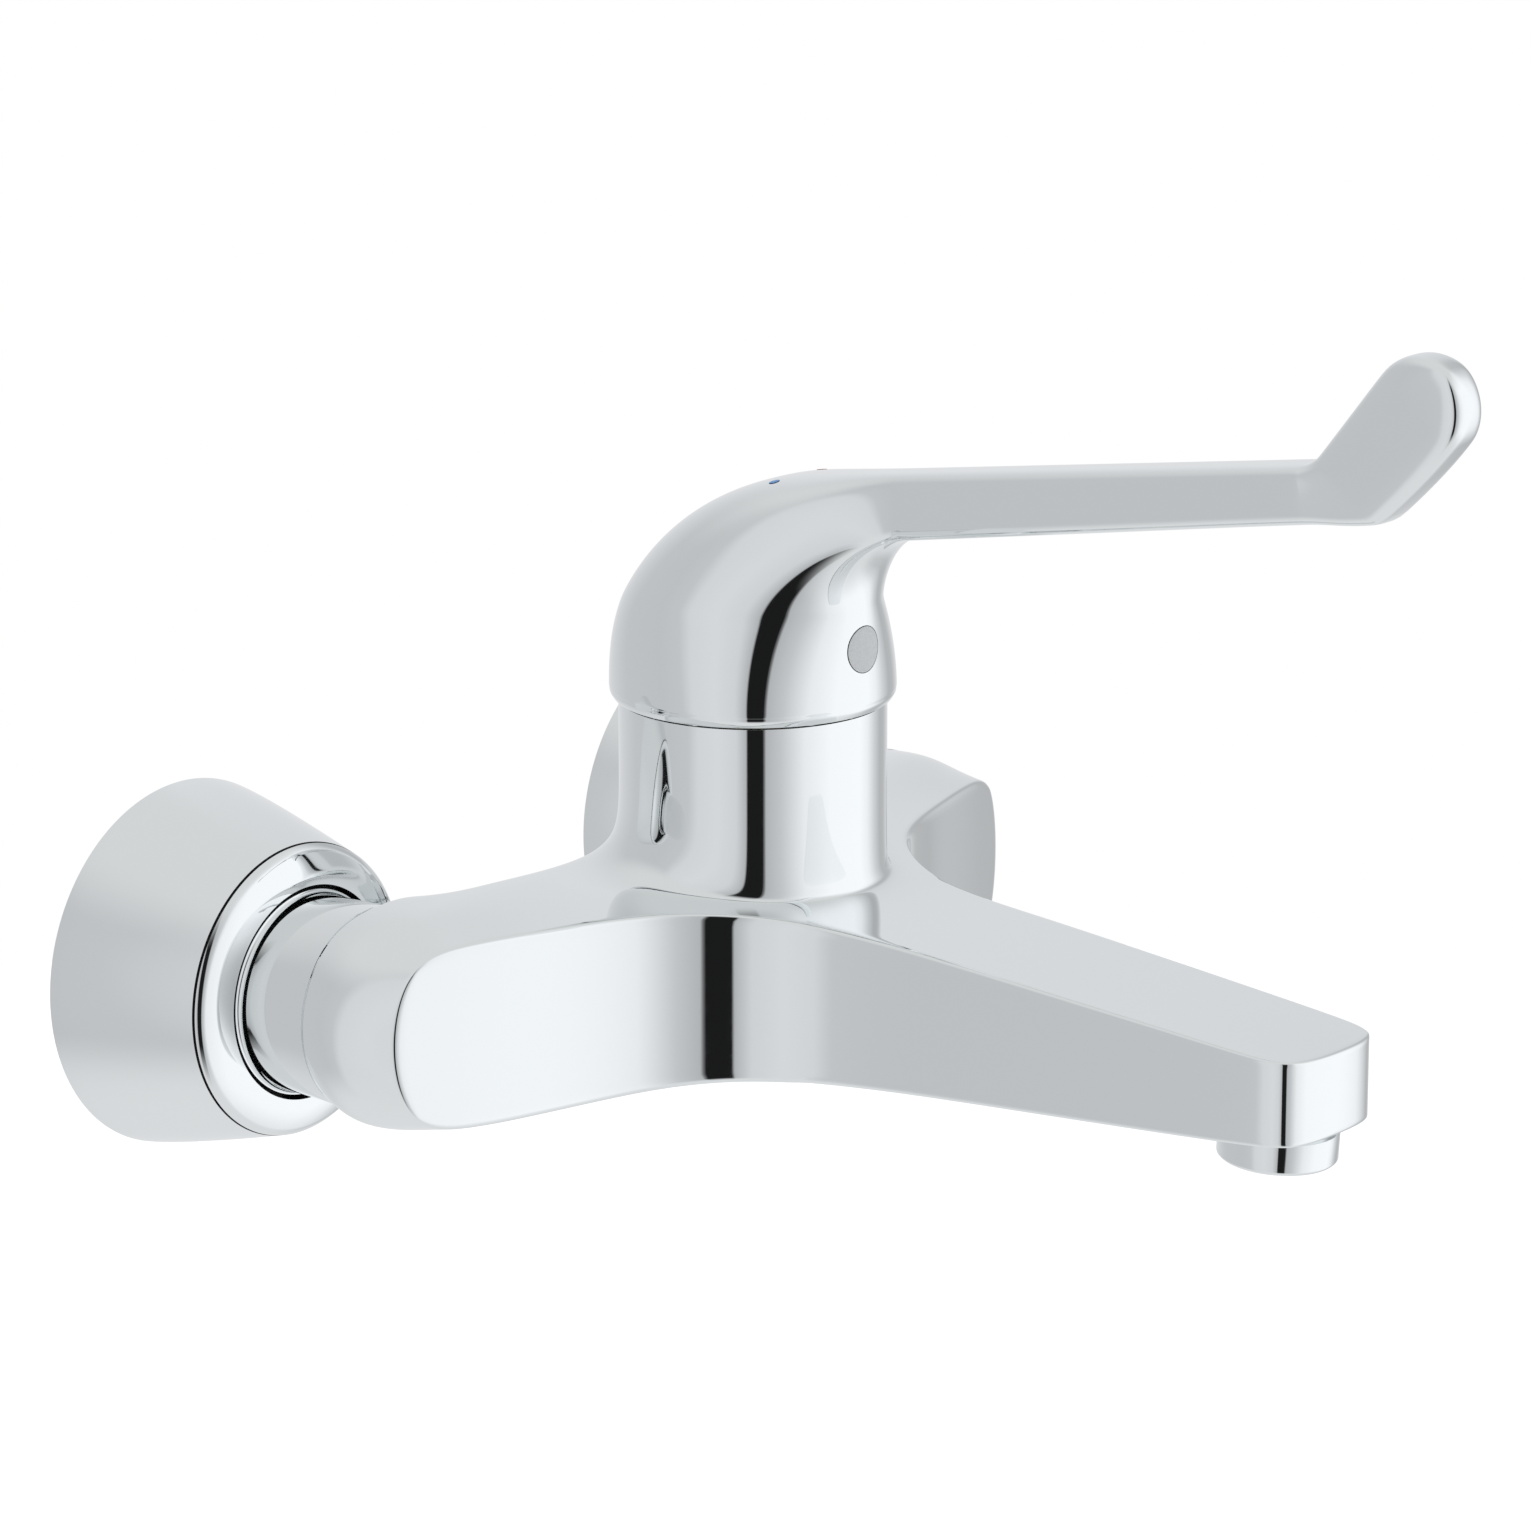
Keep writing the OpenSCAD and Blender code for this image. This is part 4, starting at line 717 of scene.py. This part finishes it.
def make_lever():
    """One skin from the hood's hollow, over its rim and the throat, along the bar to the paddle's tip."""
    bm = bmesh.new()
    loops = []

    def station(inner, outer, half_w, square, egg=0.0):
        loops.append(station_loop(Vector(inner), Vector(outer), half_w, square, egg))

    # Hollow, rim and hood
    hollow_r = HOOD_R - HOOD_WALL
    for degrees in HOLLOW_DEGREES:
        a = math.radians(degrees)
        r = hollow_r * math.cos(a)
        z = DOME_Z + HOLLOW_H * math.sin(a)
        station((r, z), (-r, z), r, ROUND)
    for r, z in RIM_PROFILE:
        station((r, z), (-r, z), r, ROUND)
    for t in HOOD_SHARES:
        z = mix(DOME_Z, THROAT.y, t)
        station((hood_front(z), z), (-dome_back(z), z), dome_radius(z), ROUND, hood_egg(z))

    # Throat and bar
    for i in range(FAN_STEPS + 1):
        a = FAN_END * i / FAN_STEPS
        way = fan_way(a)
        low = THROAT + way * THROAT_R
        high = THROAT + way * fan_reach(a)
        station(low, high, fan_half_w(a), fan_square(a), fan_egg(a))
    bar_up = Vector((-math.sin(BAR_ANGLE), math.cos(BAR_ANGLE)))
    for i in range(1, BAR_STEPS):
        s = mix(THROAT_S, LEVER_LENGTH, i / BAR_STEPS)
        low = Vector((s, bar_bottom(s)))
        station(low, low + bar_up * bar_height(s) * math.cos(LEVER_RISE), BAR_W / 2, BAR_SQUARE)

    # Bend and paddle
    for i in range(BEND_STEPS + 1):
        t = i / BEND_STEPS
        a = mix(BAR_ANGLE, PADDLE_ANGLE, t)
        down = Vector((math.sin(a), -math.cos(a)))
        w = mix(BAR_TIP_H, PADDLE_ROOT_W, t * t)
        station(BEND + down * (BEND_R + w), BEND + down * BEND_R, mix(BAR_W, PADDLE_T, t) / 2, BAR_SQUARE)
    down = Vector((math.sin(PADDLE_ANGLE), -math.cos(PADDLE_ANGLE)))
    along = Vector((math.cos(PADDLE_ANGLE), math.sin(PADDLE_ANGLE)))
    tip_r = PADDLE_W / 2
    straight = PADDLE_LENGTH - tip_r
    mid = BEND + down * (BEND_R + tip_r)
    for t in PADDLE_SHARES:
        low = mix(PADDLE_ROOT_W, PADDLE_W, math.sin(math.pi / 2 * t)) - tip_r
        at = mid + along * straight * t
        station(at + down * low, at - down * tip_r, PADDLE_T / 2, BAR_SQUARE)
    for degrees in TIP_DEGREES:
        a = math.radians(degrees)
        at = mid + along * (straight + tip_r * math.sin(a))
        half = tip_r * math.cos(a)
        half_t = PADDLE_T / 2 * math.cos(a) ** TIP_THINNING
        station(at + down * half, at - down * half, half_t, mix(BAR_SQUARE, TIP_SQUARE, a))
    extruded_loops(bm, loops)

    # Boss for the spindle
    boss = bmesh.ops.create_cube(bm, size=1.0)["verts"]
    bmesh.ops.scale(bm, vec=BOSS_SIZE, verts=boss)
    bmesh.ops.translate(bm, vec=(0, COLUMN_Y, BOSS_Z), verts=boss)
    boss_edges = list({edge for vert in boss for edge in vert.link_edges})
    bmesh.ops.bevel(bm, geom=boss_edges, offset=BOSS_BEVEL, segments=BOSS_BEVEL_STEPS, profile=0.5,
                    affect="EDGES", material=-1)
    finish_piece(bm, "lever_shell", "lever", ["lever"], CHROME, levels=LEVER_LEVELS)


def make_inlay(name, node, radius, material, onto):
    """A thin round inlay that follows the hood's skin, with a softened edge and a near-black ring of
    painted shade round its rim.
    """
    bm = bmesh.new()
    disc = bmesh.ops.create_circle(bm, cap_ends=True, segments=INLAY_SIDES, radius=radius)["verts"]
    face = disc[0].link_faces[0]
    for width in INLAY_BANDS:
        bmesh.ops.inset_region(bm, faces=[face], thickness=width * radius, use_boundary=True,
                               use_even_offset=True)
    rim = {edge for vert in disc for edge in vert.link_edges if edge.is_boundary}
    wall = bmesh.ops.extrude_edge_only(bm, edges=list(rim))["geom"]
    sunk = {g for g in wall if isinstance(g, bmesh.types.BMVert)}
    # The outer ring and the sunk wall get the near-black material as painted shade.
    for part in bm.faces:
        from_middle = part.calc_center_median().length
        part.material_index = 1 if INLAY_SHADE_SHARE * radius < from_middle else 0
    for vert in bm.verts:
        from_edge = radius - vert.co.xy.length
        proud = INLAY_PROUD if from_edge > INLAY_EDGE * radius else INLAY_EDGE_PROUD
        if vert in sunk:
            proud = INLAY_FOOT
        vert.co = onto(vert.co.x, vert.co.y, proud)
    bmesh.ops.holes_fill(bm, edges=[e for e in bm.edges if e.is_boundary], sides=0)
    finish_piece(bm, name, "lever", [node], material, sharp_angle=INLAY_SHARP_ANGLE, painted_shade=GAP_SHADE)


def onto_front(x, up, proud):
    """A place of the plug's flat disc, laid on the hood's front."""
    z = PLUG_Z + up
    middle = (hood_front(z) - dome_back(z)) / 2
    reach = (hood_front(z) + dome_back(z)) / 2
    half_w = dome_radius(z) * (1 - hood_egg(z)) / egg_span(hood_egg(z))
    skin = middle + reach * math.sqrt(1 - (x / half_w) ** 2)
    return Vector((x, COLUMN_Y - skin - proud, z))


def onto_top(side):
    """Lays the flat disc of the mark on one side onto the hood's top."""
    def place(x, on, proud):
        s = MARK_S - on
        return Vector((side * MARK_X + x, COLUMN_Y - s, fan_skin(side * MARK_X + x, s) + proud))
    return place


# Colours of the solids that stay as they are

def dress(names, material):
    for name in names:
        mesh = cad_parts[name].data
        mesh.materials.clear()
        mesh.materials.append(material)


def both(*names):
    return [side + "_" + name for name in names for side in ("left", "right")]


make_body()
for place, word in ((-1, "left"), (1, "right")):
    make_escutcheon(place, word)
    make_nut(place, word)
make_aerator()
make_lever()
make_inlay("index_plug_face", "index_plug", PLUG_R, PLUG_GREY, onto_front)
make_inlay("blue_mark_face", "blue_mark", MARK_R, MARK_BLUE, onto_top(-1))
make_inlay("red_mark_face", "red_mark", MARK_R, MARK_RED, onto_top(1))

dress(both("s_union"), CHROME)
dress(both("tail_piece") + ["clamp_ring", "spindle"], BRASS)
dress(both("grip_ring", "strainer_washer") + ["port_seals", "aerator_seal"], RUBBER)
dress(both("check_valve_body") + ["rotor", "disc_carrier", "aerator_insert"], WHITE_PLASTIC)
dress(both("check_valve_poppet") + ["cartridge_base", "cartridge_housing"], GREY_PLASTIC)
dress(["fixed_disc", "moving_disc"], CERAMIC)
dress(both("check_valve_spring") + ["pivot_pin", "grub_screw"], STEEL)
dress(["temperature_limiter"], MARK_RED)


# Studio: pale floor, wrap round light with a dark card beside the camera, and the camera

CAMERA_AZIMUTH = -50.332
CAMERA_AT = Vector((-914.4, -839.4, 346.8)) * MM
CAMERA_TARGET = Vector((-10.74, -90.0, 40.19)) * MM
CAMERA_LENS = 152.84
CAMERA_SENSOR = 36.0
CAMERA_FAR = 50000.0 * MM
FLOOR_Y = -100.0 * MM
FLOOR_Z = -400.0 * MM
FLOOR_R = 1400.0 * MM
FLOOR_SIDES = 96
FLOOR_COLOUR = (0.92, 0.92, 0.92, 1.0)
FLOOR_ROUGHNESS = 0.9
FLOOR_GLOW = 0.42
WHITE = (1.0, 1.0, 1.0, 1.0)
# Light round the part: degrees from the camera's side, and brightness
LIGHT_STOPS = ((-180, 0.78), (-120, 0.60), (-75, 0.585), (-57, 0.61), (-48, 0.73), (-30, 0.765),
               (-14, 0.71), (-5.5, 0.50), (-4.5, 0.012), (9.5, 0.012), (10.5, 0.50), (24, 0.62),
               (45, 0.92), (70, 1.05), (105, 1.07), (116, 0.97), (128, 0.70), (140, 0.50),
               (150, 0.52), (163, 0.70), (180, 0.78))
LIGHT_TINT = (1.0, 1.014, 1.034)
CEILING_COLOUR = (0.74, 0.75, 0.755, 1.0)
TABLE_COLOUR = (0.78, 0.79, 0.80, 1.0)
# Heights, as the upward part of a direction, between which the light turns into ceiling or table
CEILING_FADE = (0.45, 0.9)
TABLE_FADE = (-0.5, -0.92)


def make_world():
    """A ring of light round the part; the camera itself sees plain white behind it."""
    world = bpy.data.worlds.new("studio")
    bpy.context.scene.world = world
    world.use_nodes = True
    nodes, links = world.node_tree.nodes, world.node_tree.links
    nodes.clear()
    out = nodes.new("ShaderNodeOutputWorld")
    place = nodes.new("ShaderNodeTexCoord")
    parts = nodes.new("ShaderNodeSeparateXYZ")
    links.new(place.outputs["Generated"], parts.inputs["Vector"])

    def fade_into(light, colour, heights):
        """Blends a light into one colour between two heights of the direction."""
        share_at = nodes.new("ShaderNodeMapRange")
        share_at.interpolation_type = "SMOOTHSTEP"
        share_at.inputs["From Min"].default_value = heights[0]
        share_at.inputs["From Max"].default_value = heights[1]
        links.new(parts.outputs["Z"], share_at.inputs["Value"])
        blend = nodes.new("ShaderNodeMix")
        blend.data_type = "RGBA"
        links.new(share_at.outputs["Result"], blend.inputs["Factor"])
        links.new(light, blend.inputs["A"])
        blend.inputs["B"].default_value = colour
        return blend

    # Angle round the vertical, counted from the camera's side, as a share of a full turn
    turn = nodes.new("ShaderNodeMapping")
    turn.vector_type = "VECTOR"
    turn.inputs["Rotation"].default_value = (0, 0, math.radians(-CAMERA_AZIMUTH))
    links.new(place.outputs["Generated"], turn.inputs["Vector"])
    turned_parts = nodes.new("ShaderNodeSeparateXYZ")
    links.new(turn.outputs["Vector"], turned_parts.inputs["Vector"])
    angle = nodes.new("ShaderNodeMath")
    angle.operation = "ARCTAN2"
    away = nodes.new("ShaderNodeMath")
    away.operation = "MULTIPLY"
    away.inputs[1].default_value = -1.0
    links.new(turned_parts.outputs["Y"], away.inputs[0])
    links.new(turned_parts.outputs["X"], angle.inputs[0])
    links.new(away.outputs["Value"], angle.inputs[1])
    share = nodes.new("ShaderNodeMapRange")
    share.inputs["From Min"].default_value = -math.pi
    share.inputs["From Max"].default_value = math.pi
    links.new(angle.outputs["Value"], share.inputs["Value"])
    cards = nodes.new("ShaderNodeValToRGB")
    ramp = cards.color_ramp
    while len(ramp.elements) < len(LIGHT_STOPS):
        ramp.elements.new(0.5)
    for element, (degrees, light) in zip(ramp.elements, LIGHT_STOPS):
        element.position = (degrees + 180) / 360
        element.color = (*(light * tint for tint in LIGHT_TINT), 1.0)
    links.new(share.outputs["Result"], cards.inputs["Fac"])
    # Overhead the walls of light fade into one soft ceiling
    dome = fade_into(cards.outputs["Color"], CEILING_COLOUR, CEILING_FADE)
    # Far below, the pale table
    table = fade_into(dome.outputs["Result"], TABLE_COLOUR, TABLE_FADE)
    lit = nodes.new("ShaderNodeBackground")
    links.new(table.outputs["Result"], lit.inputs["Color"])
    plain = nodes.new("ShaderNodeBackground")
    plain.inputs["Color"].default_value = WHITE
    ray = nodes.new("ShaderNodeLightPath")
    choose = nodes.new("ShaderNodeMixShader")
    links.new(ray.outputs["Is Camera Ray"], choose.inputs["Fac"])
    links.new(lit.outputs["Background"], choose.inputs[1])
    links.new(plain.outputs["Background"], choose.inputs[2])
    links.new(choose.outputs["Shader"], out.inputs["Surface"])


def make_floor():
    bm = bmesh.new()
    bmesh.ops.create_circle(bm, cap_ends=True, segments=FLOOR_SIDES, radius=FLOOR_R)
    bmesh.ops.translate(bm, vec=(0, FLOOR_Y, FLOOR_Z), verts=bm.verts)
    mesh = bpy.data.meshes.new("floor")
    bm.to_mesh(mesh)
    bm.free()
    material, _, _, shader = new_material("pale_floor")
    shader.inputs["Base Color"].default_value = FLOOR_COLOUR
    shader.inputs["Roughness"].default_value = FLOOR_ROUGHNESS
    shader.inputs["Emission Color"].default_value = WHITE
    shader.inputs["Emission Strength"].default_value = FLOOR_GLOW
    mesh.materials.append(material)
    floor = bpy.data.objects.new("floor", mesh)
    bpy.context.scene.collection.objects.link(floor)
    floor.visible_glossy = False


def make_camera():
    data = bpy.data.cameras.new("camera")
    data.sensor_width = CAMERA_SENSOR
    data.lens = CAMERA_LENS
    data.clip_end = CAMERA_FAR
    camera = bpy.data.objects.new("camera", data)
    camera.location = CAMERA_AT
    camera.rotation_euler = (CAMERA_TARGET - CAMERA_AT).to_track_quat("-Z", "Y").to_euler()
    bpy.context.scene.collection.objects.link(camera)
    bpy.context.scene.camera = camera


make_world()
make_floor()
make_camera()
bpy.context.scene.view_settings.view_transform = "Standard"
bpy.context.scene.view_settings.look = "None"
